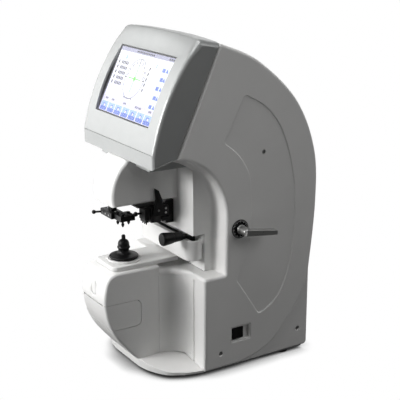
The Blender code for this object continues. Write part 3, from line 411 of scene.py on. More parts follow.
def slab(outline, low, high, low_round, high_round, along="X", steps=5, keep=None):
    """A prism whose two rims are rounded, each with its own radius; keep(old, new) may hold points back."""
    turns = [math.pi / 2.0 * k / steps for k in range(steps + 1)]
    rings = [(low_round * (1.0 - math.sin(a)), low + low_round * (1.0 - math.cos(a))) for a in turns]
    rings += [(high_round * (1.0 - math.sin(a)), high - high_round * (1.0 - math.cos(a)))
              for a in reversed(turns)]
    made = []
    for inset, height in rings:
        if made and abs(made[-1][1] - height) < 1e-6:
            continue
        ring = offset(outline, inset) if inset > 1e-6 else list(outline)
        made.append(([keep(a, b) for a, b in zip(outline, ring)] if keep else ring, height))
    return stack(made, along)


def round_box(half_u, half_v, radius, centre=(0.0, 0.0), steps=6):
    points = []
    for su, sv, start in ((1, -1, -90), (1, 1, 0), (-1, 1, 90), (-1, -1, 180)):
        middle = (centre[0] + su * (half_u - radius), centre[1] + sv * (half_v - radius))
        points += arc(middle, radius, start, start + 90, steps)
    return points


def sided(thing, side):
    """A shape made for the right, mirrored if the side is the left, -1."""
    if side < 0:
        thing.data.transform(Matrix.Scale(-1.0, 4, (1.0, 0.0, 0.0)))
        thing.data.flip_normals()
    return thing


def hand(side):
    return "right" if side > 0 else "left"


# ---- sizes shared with the frame ----
BODY_HALF, SEAM_HALF, COLUMN_HALF, NOSE_HALF, OPTICS_HALF = 102.0, 69.0, 72.0, 36.0, 30.0
LEDGE_Z, RIM_Y, WALL, GAP, AXIS_Y = 136.5, 34.0, 2.6, 0.35, -68.7
JOINT_LOW, JOINT_HIGH = (-40.4, 308.0), (23.9, 452.3)
RIM = smooth([(RIM_Y, LEDGE_Z), (RIM_Y, 180.0), (RIM_Y, 228.0), (25.2, 259.0), (8.0, 283.6),
              (-15.0, 299.9), JOINT_LOW], 8)
CROWN_LINE = smooth([JOINT_HIGH, (84.6, 425.3), (148.3, 367.2), (181.3, 293.8), (185.7, 215.0),
                     (176.7, 117.3)], 12)
SWEEP = smooth([(176.7, 117.3), (164.0, 83.0), (144.7, 54.3), (119.0, 24.4), (89.7, 8.1), (58.0, 0.0)], 8)
INLAY_FRONT = smooth([(30.6, 322.3), (54.8, 301.5), (71.3, 273.2), (75.0, 240.0), (74.9, 209.0),
                      (69.9, 167.3), (52.2, 126.5)], 8)
INLAY_REAR = smooth([(90.2, 68.6), (117.4, 84.9), (135.8, 117.5), (146.5, 167.9), (147.0, 241.0),
                     (137.3, 292.2), (119.1, 336.2), (93.8, 364.8), (62.3, 382.5)], 8)
COVER_SCREWS, BLOCK_SCREW = ((94.5, 302.0), (26.8, 22.0)), (161.9, 28.4)
SWITCH_CENTRE, SWITCH_HALF = (59.8, 46.2), (16.5, 11.6)
PINION_Y, PINION_Z = 56.0, 200.0
TONGUE = smooth([(100.0, -1.0), (95.9, -21.4), (90.8, -32.6), (80.6, -49.0), (58.0, -62.0), (36.0, -67.3)], 8)
TRAY_HEIGHT, STAGE_TOP, TABLE_LOW, TABLE_HIGH = 12.0, 149.6, 153.5, 182.5
REAR_HALF, REAR_Y = 98.0, 179.5
NOSE_SIDE = [(-99.3, 143.2), (-108.5, 138.7), (-114.0, 128.5), (-117.3, 110.2), (-116.6, 92.8),
             (-111.9, 72.4), (-101.8, 51.0), (-86.7, 31.1), (-70.0, TRAY_HEIGHT + GAP)]
FILLET_RADIUS = 33.0
ALCOVE_TOP, ALCOVE_DEPTH = 128.5, 1.5


# ---- side covers ----
def side_outline():
    lower = [(0.0, 0.0), (0.0, LEDGE_Z, 4.6), (*RIM[0], 3.0), *RIM[1:-3], RIM[-1], *CROWN_LINE,
             *SWEEP[1:]]
    return round_corners(lower)


def recess(outline, depth, face):
    """A cutter for a shallow pocket in a side face, with walls that slope at 45 degrees."""
    return stack([(offset(outline, 0.3), face - depth), (outline, face - depth + 0.25),
                  (offset(outline, 0.25 - depth - 1.0), face + 1.0)])


def screw_hole(face, y, z):
    """Cutters for a countersunk hole in a side face; the face's sign says which side."""
    side = math.copysign(1.0, face)
    hole = cylinder(3.0, (face - 7.0 * side, y, z), (face + side, y, z), 36)
    return hole, cylinder(2.6, (face - 1.1 * side, y, z), (face + 1.1 * side, y, z), 36, 4.8)


def side_cover(side):
    """A side shell with its inlay, slot and screw holes; the right one also takes the switch and lever."""
    outline = side_outline()
    inner = SEAM_HALF + GAP
    cover = slab(outline, inner, BODY_HALF, 0.0, 4.2, steps=6)
    cover = minus(cover, prism(offset(outline, WALL), inner - 5.0, BODY_HALF - WALL),
                  recess(round_corners([(*INLAY_FRONT[0], 4.5), *INLAY_FRONT[1:-1], (*INLAY_FRONT[-1], 5.0),
                                        (*INLAY_REAR[0], 5.0), *INLAY_REAR[1:-1], (*INLAY_REAR[-1], 4.5)]),
                         1.4, BODY_HALF),
                  prism(round_box(1.3, 62.0, 1.3, (74.0, 67.0)), -1.0, 2.2, "Y"))
    for y, z in COVER_SCREWS:
        cover = minus(cover, *screw_hole(BODY_HALF, y, z))
    if side > 0:
        y, z = SWITCH_CENTRE
        shape = round_box(*SWITCH_HALF, 2.4, SWITCH_CENTRE)
        cover = minus(cover, prism(shape, BODY_HALF - 6.0, BODY_HALF + 3.0),
                      stack([(offset(shape, 0.4), BODY_HALF - 1.1), (offset(shape, -1.6), BODY_HALF + 0.9)]),
                      cylinder(5.2, (BODY_HALF - 6.0, PINION_Y, PINION_Z),
                               (BODY_HALF + 2.0, PINION_Y, PINION_Z)))
    stand_in(hand(side) + "_side_cover", sided(cover, side), WHITE)


def window_fillet(side):
    """The hollow corner where the side window's rim meets the column, from the ledge up to the head."""
    radius, foot = 7.0, 0.15
    section = [(COLUMN_HALF - 0.6, -0.1), (COLUMN_HALF - 0.6, radius)]
    section += [(COLUMN_HALF + radius + radius * math.cos(a), radius + radius * math.sin(a))
                for a in [math.radians(180.0 + 9.0 * k) for k in range(11)]]
    section[-1] = (COLUMN_HALF + radius, 0.02)
    section += [(COLUMN_HALF + radius, -0.1)]
    path = [(RIM_Y, LEDGE_Z + foot), *RIM[1:-2]]
    spots = []
    for i, here in enumerate(path):
        before, after = Vector(path[max(i - 1, 0)]), Vector(path[min(i + 1, len(path) - 1)])
        along = (after - before).normalized()
        front = Vector((-along.y, along.x))
        spots += [(x, here[0] + front.x * n, here[1] + front.y * n) for x, n in section]
    piece("window_fillet_" + hand(side), sided(loft(spots, len(section)), side), WHITE)


# ---- rear covers ----
def rear_covers():
    """The lower rear shell with its socket openings, and the vented strip down the back."""
    sweep = offset([(300.0, 118.0), *SWEEP, (300.0, 0.0)], GAP)[1:-1]
    outline = round_corners([*sweep[1:], (66.0, 0.0), (REAR_Y, 0.0, 6.0), (REAR_Y, 116.0)])
    fixed = {tuple(round(c, 3) for c in spot) for spot in [*sweep, (66.0, 0.0)]}

    def keep(old, new):
        if tuple(round(c, 3) for c in old) in fixed:
            return old
        return (new[0], old[1]) if old[1] > 115.9 else new
    cover = slab(outline, -REAR_HALF, REAR_HALF, 3.0, 3.0, steps=4, keep=keep)
    hollow = [(y - 6.0, z + 10.0) for y, z in sweep if z > 8.0]
    hollow += [(58.0, -6.0), (REAR_Y - 6.0, -6.0), (REAR_Y - WALL, 6.0), (REAR_Y - WALL, 130.0)]
    cover = minus(cover, *screw_hole(-REAR_HALF, *BLOCK_SCREW), *screw_hole(REAR_HALF, *BLOCK_SCREW),
                  prism(hollow, -REAR_HALF + WALL, REAR_HALF - WALL),
                  box((38.0, REAR_Y - 8.0, 23.5), (66.0, REAR_Y + 2.0, 44.5)),
                  box((-56.0, REAR_Y - 8.0, 27.5), (-24.0, REAR_Y + 2.0, 40.5)))
    stand_in("rear_base_cover", cover, WHITE)
    inner = offset([*CROWN_LINE, (100.0, 120.0), (60.0, 300.0), (20.0, 420.0)], WALL)[:len(CROWN_LINE)]
    strip = prism([*CROWN_LINE, *reversed(inner)], -SEAM_HALF, SEAM_HALF)
    vents = [prism(round_box(35.0, 1.75, 1.7, (0.0, 151.75 + 9.0 * i)), 165.0, 195.0, "Y") for i in range(8)]
    stand_in("spine_cover", rounded(minus(strip, *vents), 0.5, 2, 50.0), WHITE)


# ---- lower front ----
def lower_front():
    """The wall behind the nose, with hollow corners out to the sides and a rounded top edge."""
    half, bottom, back = SEAM_HALF, TRAY_HEIGHT + GAP, 18.0 - GAP
    corner = arc((half, -FILLET_RADIUS), FILLET_RADIUS, 90, 180, 18)
    outline = [(half, back), *corner, *[(-x, y) for x, y in reversed(corner)], (-half, back)]

    def keep(old, new):
        x = old[0] if abs(old[0]) > half - 0.01 else new[0]
        y = old[1] if old[1] > back - 0.01 or (old[1] < -32.9 and abs(old[0]) < 36.1) else new[1]
        return (x, y)

    def ring(inset):
        return [keep(a, b) for a, b in zip(outline, offset(outline, inset))] if inset else outline
    rings = [(ring(ALCOVE_DEPTH), bottom), (ring(ALCOVE_DEPTH), ALCOVE_TOP), (ring(0.0), ALCOVE_TOP + 0.9),
             (ring(0.0), LEDGE_Z - 4.4)]
    rings += [(ring(4.4 * (1.0 - math.cos(a))), LEDGE_Z - 4.4 + 4.4 * math.sin(a))
              for a in [math.radians(15.0 * k) for k in range(1, 7)]]
    cover = stack(rings, "Z")
    inside = [(x, y + 10.0) if y > back - 0.1 else (x, y) for x, y in offset(outline, WALL + 0.9)]
    cover = minus(cover, prism(inside, bottom - 5.0, LEDGE_Z - WALL, "Z"),
                  box((-28.0, -FILLET_RADIUS - 3.0, 30.0), (28.0, -FILLET_RADIUS + 8.0, 128.0)))
    stand_in("front_base_cover", plus(cover, box((-half, 0.0, 0.0), (half, WALL, bottom + 3.0))), WHITE)


def nose_solid(grow=0.0):
    """The printer nose's outside; with grow, the smaller solid that hollows it out."""
    front = smooth(NOSE_SIDE, 8)
    back = -FILLET_RADIUS - GAP
    outline = [*front, (back, TRAY_HEIGHT + GAP), (back, NOSE_SIDE[0][1])]
    outline = round_corners([(*NOSE_SIDE[0], 4.5), *outline[1:]])

    def keep(old, new):
        y = old[0] if old[0] > back - 0.01 else new[0]
        z = old[1] if old[1] < TRAY_HEIGHT + GAP + 0.01 else new[1]
        return (y, z)
    if grow == 0.0:
        return slab(outline, -NOSE_HALF, NOSE_HALF, 3.6, 3.6, steps=6, keep=keep)
    inside = [(y if y < back - 4.0 else y + 10.0, z) for y, z in offset(outline, grow)]
    return prism(inside, -NOSE_HALF + grow, NOSE_HALF - grow)


def door_zone(grow):
    middle, half = ((-62.0 - 140.0) / 2.0, 81.0), (39.0 + grow, 19.0 + grow)
    return prism(round_box(*half, 8.0 + grow, middle, 8), -NOSE_HALF - 5.0, NOSE_HALF + 5.0)


def key_shape(grow):
    return round_box(7.6 + grow, 10.5 + grow, 7.59 + grow, (0.0, 117.0), 12)


def nose():
    side_step = [box((x - 5.0, -40.0, TRAY_HEIGHT - 2.0), (x + 5.0, -20.0, ALCOVE_TOP + 0.4))
                 for x in (NOSE_HALF + 5.0 - ALCOVE_DEPTH, -NOSE_HALF - 5.0 + ALCOVE_DEPTH)]
    shell = minus(nose_solid(), nose_solid(WALL), door_zone(GAP), *side_step,
                  stack([(key_shape(GAP), -106.0), (key_shape(GAP), -115.9), (key_shape(2.6), -118.6)], "Y"),
                  cylinder(10.0, (0.0, AXIS_Y, 130.0), (0.0, AXIS_Y, 150.0), 40))
    stand_in("lower_front_housing", shell, WHITE, angle=30.0)
    door = common(nose_solid(), door_zone(-GAP))
    door = minus(door, nose_solid(WALL), box((-29.0, -125.0, 98.0), (29.0, -105.0, 99.4)))
    stand_in("printer_cover", door, WHITE, "printer_door", angle=30.0)
    cap = stack([(key_shape(-0.1), -111.0), (key_shape(-0.1), -115.4), (key_shape(-0.7), -116.2),
                 (key_shape(-1.9), -116.6)], "Y")
    cap = plus(cap, cylinder(2.5, (0.0, -112.0, 117.0), (0.0, -103.0, 117.0), 24))
    stand_in("print_button", cap, WHITE, "print_key")


def stage():
    top, thick, half, front = STAGE_TOP, 6.0, 29.0, -99.0
    outline = [*arc((half - 8.0, front + 8.0), 8.0, 0, -90, 10),
               *arc((-half + 8.0, front + 8.0), 8.0, -90, -180, 10), (-half, 1.0), (half, 1.0)]

    def keep(old, new):
        return (new[0], max(old[1], new[1])) if old[1] > 0.5 else new
    plate = slab(outline, top - thick, top, 0.8, 1.8, "Z", 5, keep=keep)
    bore = cylinder(9.0, (0.0, AXIS_Y, 130.0), (0.0, AXIS_Y, 160.0), 48)
    stand_in("stage_plate", minus(plate, bore), WHITE)
    axis = (0.0, AXIS_Y, 0.0)
    ring = [(23.2, 0.3), (23.2, 1.7), (22.9, 2.3), (22.3, 2.6), (21.6, 2.4), (21.0, 1.9), (10.0, 1.9),
            (10.0, 0.3)]
    ring = turned([(radius, top + rise) for radius, rise in ring], 72, axis, hollow=True)
    stand_in("nosepiece_ring", ring, WHITE)
    skirt = smooth([(20.3, 153.6), (19.6, 155.6), (15.5, 156.7), (11.2, 158.0), (8.6, 160.0),
                    (7.7, 162.4)], 4)
    cup = [(3.2, 152.6), (20.0, 152.6), *skirt, (7.6, 164.4), (8.3, 165.4), (8.9, 166.0), (9.05, 166.7),
           (8.9, 167.5), (8.2, 168.3),
           *smooth([(8.0, 169.0), (7.9, 172.0), (7.0, 174.8), (5.4, 176.8), (4.2, 177.6)], 4), (3.2, 177.8)]
    stand_in("nosepiece_cone", turned(cup, 64, axis, hollow=True), BLACK)
    tip = [(1.6, 178.2), (2.6, 178.2), (2.75, 178.6), (2.7, 182.6), (2.45, 183.7), (2.0, 184.3), (1.6, 184.4)]
    stand_in("nosepiece_tip", turned(tip, 40, axis, hollow=True), RUBBER)


def base():
    outline = [*TONGUE, *[(-x, y) for x, y in reversed(TONGUE)], (-100.0, -GAP), (100.0, -GAP)]

    def tray(inward):
        top = TRAY_HEIGHT - inward
        made = prism(offset(outline, inward) if inward else outline, -inward, top, "Z")
        for side in (-1.0, 1.0):
            slope = [(side * NOSE_HALF, top + 0.1), (side * 110.0, top - 10.4), (side * 110.0, top + 20.0),
                     (side * NOSE_HALF, top + 20.0)]
            made = minus(made, prism(slope, -90.0, 20.0, "Y"))
        return made
    body = tray(0.0)
    stand_in("base_tray", minus(rounded(body, 1.5, 4, 40.0), tray(WALL)), WHITE)


# ---- column and upper optics ----
def column():
    """The column between the side windows, and what shows of the head's underside around it."""
    step_y, step_z, soffit_z, neck_z = 18.0, 190.0, 307.0, 304.4
    rim = offset([*RIM, (200.0, 308.0), (200.0, LEDGE_Z)], -GAP)[:len(RIM)]
    rim = [(y, z) for y, z in rim if y > 1.0]
    rim[:2] = [(RIM_Y - 3.5, LEDGE_Z + GAP), (RIM_Y - GAP, LEDGE_Z + 3.8)]
    top = rim[-1][1] + 1.0
    outline = [(0.0, step_z), (step_y, step_z), (step_y, LEDGE_Z + GAP), *rim, (0.0, top)]
    # The cutter runs out through the open back and foot.
    inside = [(y + 20.0, z) for y, z in offset(outline, WALL)]
    inside[0], inside[1] = (WALL, step_z + WALL), (step_y + WALL, step_z + WALL)
    inside[2], inside[3] = (step_y + WALL, LEDGE_Z - 10.0), (RIM_Y + 20.0, LEDGE_Z - 10.0)
    inside[-1] = (WALL, top + 10.0)

    def keep(old, new):
        return new if old[0] < step_y + 0.5 and old[1] < top - 0.1 else old
    cover = slab(outline, -COLUMN_HALF, COLUMN_HALF, 1.6, 1.6, steps=4, keep=keep)
    cover = minus(cover, prism(inside, WALL - COLUMN_HALF, COLUMN_HALF - WALL))
    low = top - 3.0
    front = JOINT_LOW[0] + 1.0
    ceiling = prism([(0.2, low), (0.2, neck_z), (front, neck_z), (front, soffit_z), (WALL + 0.2, soffit_z),
                     (WALL + 0.2, low)], -SEAM_HALF, SEAM_HALF)
    piece("column_ceiling", ceiling, WHITE)
    for x in (-46.0, 46.0):
        cover = minus(cover, cylinder(3.6, (x, 10.0, 165.0), (x, 30.0, 165.0), 32))
    stand_in("column_cover", cover, WHITE)
    # The head's underside runs on beside the optics, on each side.
    line = [(-64.0, 287.5), (1.0, 287.5), (1.0, 305.0), (-52.0, 304.5), (-64.0, 301.4)]
    for side in (1, -1):
        trough = rounded(prism(line, OPTICS_HALF + 0.7, SEAM_HALF), 1.2, 3)
        piece("head_soffit_" + hand(side), sided(trough, side), GREY)
    # A black block set in the gap above the lens table: painted shade standing in for the dark slot there.
    piece("table_slot", rounded(box((-52.0, 13.0, 183.4), (52.0, 17.9, 189.6)), 0.5, 2), BLACK)


def upper_optics():
    low, top = 234.0, 298.0
    front = smooth([(-97.2, low), (-99.2, 247.0), (-97.6, 262.0), (-92.5, 276.0), (-84.5, 288.0),
                    (-74.0, top)], 8)
    side = [*front, (-GAP, top), (-GAP, low)]

    def hold(old, new):
        return (old[0] if old[0] > -1.0 else new[0], old[1] if old[1] > top - 0.1 else new[1])
    optics = slab(side, -OPTICS_HALF, OPTICS_HALF, 4.5, 4.5, steps=6, keep=hold)
    cavity = offset(side, WALL)
    cavity[-2:-1] = [(cavity[-3][0], top + 8.0), (cavity[-2][0], top + 8.0)]
    optics = minus(optics, prism(cavity, -OPTICS_HALF + WALL, OPTICS_HALF - WALL),
                   cylinder(8.0, (0.0, AXIS_Y, low - 9.0), (0.0, AXIS_Y, low + 11.0), 48))
    stand_in("upper_optics_cover", optics, WHITE)


# ---- head and display ----
HEAD_TOP, HEAD_CHIN, HEAD_BOTTOM = (-7.3, 457.5), (-76.6, 317.6), (-76.5, 298.0)
SCREEN_TOP, SCREEN_BOTTOM, SCREEN_HALF = (-26.5, 434.9), (-67.8, 348.4), 74.5
TILT = math.atan2(SCREEN_TOP[0] - SCREEN_BOTTOM[0], SCREEN_TOP[1] - SCREEN_BOTTOM[1])
SCREEN_HEIGHT = math.hypot(SCREEN_TOP[0] - SCREEN_BOTTOM[0], SCREEN_TOP[1] - SCREEN_BOTTOM[1])
SCREEN_MIDDLE = ((SCREEN_TOP[0] + SCREEN_BOTTOM[0]) / 2.0, (SCREEN_TOP[1] + SCREEN_BOTTOM[1]) / 2.0)


def on_screen(thing):
    """Turns a shape made flat, across in X, up in Z and deep in Y, onto the tilted display."""
    thing.data.transform(Matrix.Translation((0.0, *SCREEN_MIDDLE)) @ Matrix.Rotation(-TILT, 4, "X"))
    return thing


def face_line(bulge, steps):
    """The head's bulging face from its top to its chin."""
    a, b = Vector(HEAD_TOP), Vector(HEAD_CHIN)
    chord = (b - a).length
    out = Vector(((b - a).y, -(b - a).x)).normalized()
    radius = (chord * chord / 4.0 + bulge * bulge) / (2.0 * bulge)
    half = math.asin(chord / 2.0 / radius)
    middle = (a + b) / 2.0 + out * (bulge - radius)
    along = (b - a).normalized()
    turns = [-half + 2.0 * half * k / steps for k in range(steps + 1)]
    return [tuple(middle + out * radius * math.cos(t) + along * radius * math.sin(t)) for t in turns]


def head():
    """The display head: outlines stacked across, then hollowed, with a window for the display."""
    low, high = (JOINT_LOW[0] - GAP, JOINT_LOW[1] - 0.2), (JOINT_HIGH[0] - GAP, JOINT_HIGH[1] + 0.2)
    outline = [low, high, (HEAD_TOP[0] + 4.0, HEAD_TOP[1] + 1.0), *face_line(10.5, 28), HEAD_BOTTOM]
    outline = round_corners([*outline[:3], (*outline[3], 4.8), *outline[4:]])
    joint = Vector(high) - Vector(low)
    edge, crown_edge = 4.6, 12.0

    def round_edge(radius, side):
        return radius - math.sqrt(radius ** 2 - (radius - side) ** 2) if side < radius else 0.0

    def ring(x):
        """The head's outline at one place across it, drawn in at the side edges and domed at the crown."""
        side = BODY_HALF - abs(x)
        inset, drop = round_edge(edge, side), 0.0
        if side < crown_edge:
            drop = round_edge(crown_edge, side) - inset
        lift = 4.7 * (1.0 - (x / BODY_HALF) ** 2)
        points = []
        for old, new in zip(outline, offset(outline, inset) if inset > 1e-6 else outline):
            t = (Vector(old) - Vector(low)).dot(joint) / joint.length_squared
            on_joint = abs((old[0] - low[0]) * joint.y - (old[1] - low[1]) * joint.x) / joint.length < 0.05
            y, z = new
            if on_joint and 0.001 < t < 0.999:
                y, z = old
            weight = min(max((old[1] - 440.0) / 12.0, 0.0), 1.0)
            points.append((y, z + (lift - drop * 0.55) * weight))
        return points
    stations = [BODY_HALF - edge * (1.0 - math.cos(math.radians(15.0 * k))) for k in range(7)]
    stations += [BODY_HALF - edge - 7.4 * k / 5.0 for k in range(1, 6)] + [80.0 - 10.0 * k for k in range(9)]
    stations = sorted({round(x, 4) for x in [*stations, *[-x for x in stations]]})
    shell = stack([(ring(x), x) for x in stations])
    inside = offset(outline, WALL)
    inside[0] = (inside[0][0] + 12.0, inside[0][1] + 4.0)
    inside[1] = (inside[1][0] + 12.0, inside[1][1] - 4.0)
    hollow = prism(inside, -BODY_HALF + 5.0, BODY_HALF - 5.0)
    u, v = SCREEN_HALF + 1.0, SCREEN_HEIGHT / 2.0 + 1.0
    window = on_screen(stack([(round_box(u, v, 1.2), 12.0), (round_box(u, v, 1.2), 0.0),
                              (round_box(u + 3.4, v + 0.4, 2.6), -8.0),
                              (round_box(u + 3.9, v + 0.8, 3.0), -30.0)], "Y"))
    y, z = HEAD_CHIN
    groove = box((-BODY_HALF - 2.0, y - 3.0, z - 0.7), (BODY_HALF - 3.0, y + 1.1, z + 0.7))
    stand_in("head_cover", minus(shell, hollow, window, groove), GREY, angle=30.0)


class Canvas:
    """Flat marks laid on the display, gathered by colour; u runs across and v up, in millimetres."""

    def __init__(self):
        self.marks = {}

    def add(self, look, outline, depth=2.05):
        self.marks.setdefault(look.name, [look, []])[1].append((outline, depth))

    def bar(self, look, u, v, half_u, half_v, depth=2.05):
        self.add(look, [(u - half_u, v - half_v), (u + half_u, v - half_v), (u + half_u, v + half_v),
                        (u - half_u, v + half_v)], depth)

    def build(self):
        for name, (look, outlines) in self.marks.items():
            spots, faces = [], []
            for outline, depth in outlines:
                first, count = len(spots), len(outline)
                spots += [(u, depth + half, v) for half in (-0.04, 0.04) for u, v in outline]
                faces += [tuple(range(first, first + count)),
                          tuple(reversed(range(first + count, first + 2 * count)))]
                for i in range(count):
                    j = (i + 1) % count
                    faces.append((first + i, first + count + i, first + count + j, first + j))
            piece("display_" + name, on_screen(solid(name, spots, faces)), look)


def display():
    half_u, half_v = SCREEN_HALF, SCREEN_HEIGHT / 2.0
    ground = lit("screen_ground", (0.90, 0.93, 1.0), 1.0, (0.62, 0.60, 1.0))
    lilac, band, dark, blue, sky, pale, green, amber = [
        lit("screen_" + name, colour, strength) for name, colour, strength in (
            ("lilac", (0.70, 0.68, 1.0), 0.9), ("grey", (0.42, 0.42, 0.60), 0.7),
            ("dark", (0.03, 0.03, 0.07), 0.5), ("blue", (0.06, 0.14, 0.62), 0.9),
            ("sky", (0.30, 0.48, 1.0), 0.9), ("pale", (0.66, 0.74, 1.0), 1.0),
            ("green", (0.20, 0.75, 0.12), 0.9), ("amber", (0.85, 0.50, 0.12), 0.8))]
    draw = Canvas()
    draw.bar(ground, 0.0, 0.0, half_u - 1.2, half_v - 1.2, 2.13)
    draw.bar(band, 0.0, half_v - 4.0, half_u - 1.2, 2.8)
    for i in range(11):
        draw.bar(dark, -26.0 + 4.4 * i, half_v - 4.0, 1.7, 1.2, 1.96)
    for i in range(3):
        draw.bar(dark, half_u - 14.0 + 5.0 * i, half_v - 4.0, 1.8, 1.4, 1.96)
    draw.bar(lilac, 0.0, -half_v + 19.5, half_u - 1.2, 3.4)
    for u in (-64.0, -46.0, -12.0, 21.0, 30.0, 58.0):
        for k in range(3):
            draw.bar(dark, u + 2.6 * k, -half_v + 19.5, 0.9, 1.3, 1.96)
    # The measured values: two columns of rows made of short generic marks.
    for column, wide in ((-66.0, 6), (21.0, 1)):
        for row in range(5):
            v = 25.0 - 7.4 * row
            draw.bar(dark, column, v, 1.5, 2.2)
            for k in range(1, wide):
                draw.bar(dark, column + 4.5 + 4.1 * k, v, 1.45, 2.3)
    draw.bar(sky, -50.0, 33.0, 2.0, 2.6)
    draw.bar(sky, 35.0, 31.0, 1.2, 2.6)
    # The lens diagram: a dashed ring with ticks, and a green cross at its middle.
    centre, wide, tall = (-9.0, 7.0), 25.0, 28.0
    for k in range(44):
        a = 2.0 * math.pi * k / 44.0
        u, v = centre[0] + wide * math.cos(a), centre[1] + tall * math.sin(a)
        nu, nv = -math.sin(a) * wide / 30.0, math.cos(a) * tall / 30.0
        draw.add(dark, [(u + nu * p - nv * q, v + nv * p + nu * q)
                        for p, q in ((-1.9, 0.55), (1.9, 0.55), (1.9, -0.55), (-1.9, -0.55))])
    for k in range(9):
        a = math.pi * k / 8.0
        u, v = centre[0] + 21.0 * math.cos(a), centre[1] + 4.0 + 19.0 * math.sin(a)
        draw.bar(dark, u, v, 0.75, 2.0)
    draw.bar(dark, centre[0], centre[1] + tall - 5.0, 0.6, 5.0, 1.96)
    for u in (1.0 - wide, wide - 1.0):
        draw.bar(dark, centre[0] + u, centre[1], 3.6, 0.6, 1.96)
    for half in ((0.7, 19.0), (17.0, 0.7), (2.6, 2.6)):
        draw.bar(green, *centre, *half)
    for k in range(3):
        draw.bar(amber, centre[0] + 16.0, centre[1] + 13.0 - 4.0 * k, 1.1, 0.8)
    for k in range(6):
        draw.bar(dark, centre[0] - 10.0 + 4.0 * k, -half_v + 27.5, 1.3, 0.7)
    # Keys down the right side and along the bottom.
    for row in range(5):
        v = 28.0 - 12.5 * row
        draw.bar(pale, 60.0, v, 10.0, 3.8)
        draw.bar(blue, 56.0 + 2.0 * (row % 2), v, 3.4, 2.6, 1.96)
        draw.add(blue, [(61.5, v - 2.4), (67.5, v - 2.4), (64.5, v + 3.2)], 1.96)
    for k in range(7):
        u = -half_u + 12.6 + 20.6 * k
        draw.bar(sky, u, -half_v + 9.2, 9.0, 5.6)
        draw.bar(blue, u, -half_v + 4.4, 9.0, 2.6, 1.99)
        draw.add(blue, [(u - 3.6, -half_v + 6.0), (u + 3.6, -half_v + 6.0), (u + 3.6, -half_v + 12.0),
                        (u - 3.6 + 3.0 * (k % 2), -half_v + 12.0)], 1.93)
        draw.bar(ground, u + 0.8, -half_v + 9.0, 1.9, 1.6, 1.9)
    draw.build()
    border = prism(round_box(half_u + 0.4, half_v + 0.4, 1.0), 1.84, 1.9, "Y")
    border = minus(border, prism(round_box(half_u - 1.2, half_v - 1.2, 0.6), 1.0, 3.0, "Y"))
    piece("display_border", on_screen(border), BLACK)


# ---- lens table and its knob ----
def lens_table():
    """The table's front bar with round ends, and the PD knob that slides along it."""
    half, radius, wall, front = 72.0, 14.0, 7.0, -6.0
    centre = (half - radius, front + radius)
    inner_radius = radius - 2.4
    bar_back = math.degrees(math.asin((wall - radius) / inner_radius))
    outer, inner = arc(centre, radius, 30, -90, 20), arc(centre, inner_radius, bar_back, 30, 14)
    outline = [*outer, *[(-x, y) for x, y in reversed(outer)], *[(-x, y) for x, y in reversed(inner)], *inner]
    bar = slab(outline, TABLE_LOW, TABLE_HIGH, 0.9, 0.9, "Z", 4)
    stand_in("lens_table", bar, WHITE, "lens_table")
    profile = [(0.001, 30.9), (7.6, 31.0), (8.4, 30.6), (9.05, 29.2), (9.15, 27.6), (9.0, 26.0), (8.5, 22.0),
               (7.8, 16.0), (7.4, 13.6), (6.7, 13.2), (6.7, 12.4), (7.0, 12.0), (6.7, 8.0), (6.2, 0.0),
               (0.001, 0.0)]
    knob = rounded(turned(profile, 48), 0.1, 1)
    place = Matrix.Translation((52.0, -7.0, 186.4))
    knob.data.transform(place @ Matrix.Rotation(math.radians(90.0), 4, "X"))
    stem = box((48.0, -9.0, 183.0), (56.0, 11.0, 187.0))
    saddle = box((47.0, 9.4, 172.0), (57.0, 12.5, 186.7))
    stand_in("pd_knob", plus(knob, rounded(plus(stem, saddle), 0.5, 2)), BLACK, "pd_slider")


def refined(node, width, look, angle=30.0, segments=2, body="frame"):
    """A CAD node's shape with its flat faces merged and its edges softened, as a piece of its own."""
    source = frame["nodes"][node]
    made = new_object(node, source.data.copy())
    made.data.transform(Matrix.Translation(-ORIGIN) @ Matrix.Scale(1000.0, 4))
    shape = bmesh.new()
    shape.from_mesh(made.data)
    bmesh.ops.remove_doubles(shape, verts=shape.verts, dist=0.002)
    bmesh.ops.dissolve_limit(shape, angle_limit=0.01, verts=shape.verts, edges=shape.edges, delimit=set())
    bmesh.ops.recalc_face_normals(shape, faces=shape.faces)
    shape.to_mesh(made.data)
    shape.free()
    made.data.materials.clear()
    made.modifiers.clear()
    stand_in(node, rounded(made, width, segments, angle), look, body)


def slotted_screw(at, axis, radius=1.6, height=0.7):
    """A small cheese-head screw lying on a face, its slot across the head."""
    direction = {"X": Vector((1, 0, 0)), "Y": Vector((0, -1, 0)), "Z": Vector((0, 0, 1))}[axis]
    at = Vector(at)
    head = rounded(cylinder(radius, at - direction * 0.6, at + direction * height, 28), 0.15, 2, 40.0)
    low, high = at - Vector((radius + 1,) * 3), at + Vector((radius + 1,) * 3)
    across = 1 if axis == "X" else 0
    for k in range(3):
        if k == across:
            low[k], high[k] = at[k] - 0.22, at[k] + 0.22
        elif direction[k]:
            low[k] = at[k] + (height * 0.45 if direction[k] > 0 else -height - 1.0)
            high[k] = at[k] + (height + 1.0 if direction[k] > 0 else -height * 0.45)
    return minus(head, box(low, high))


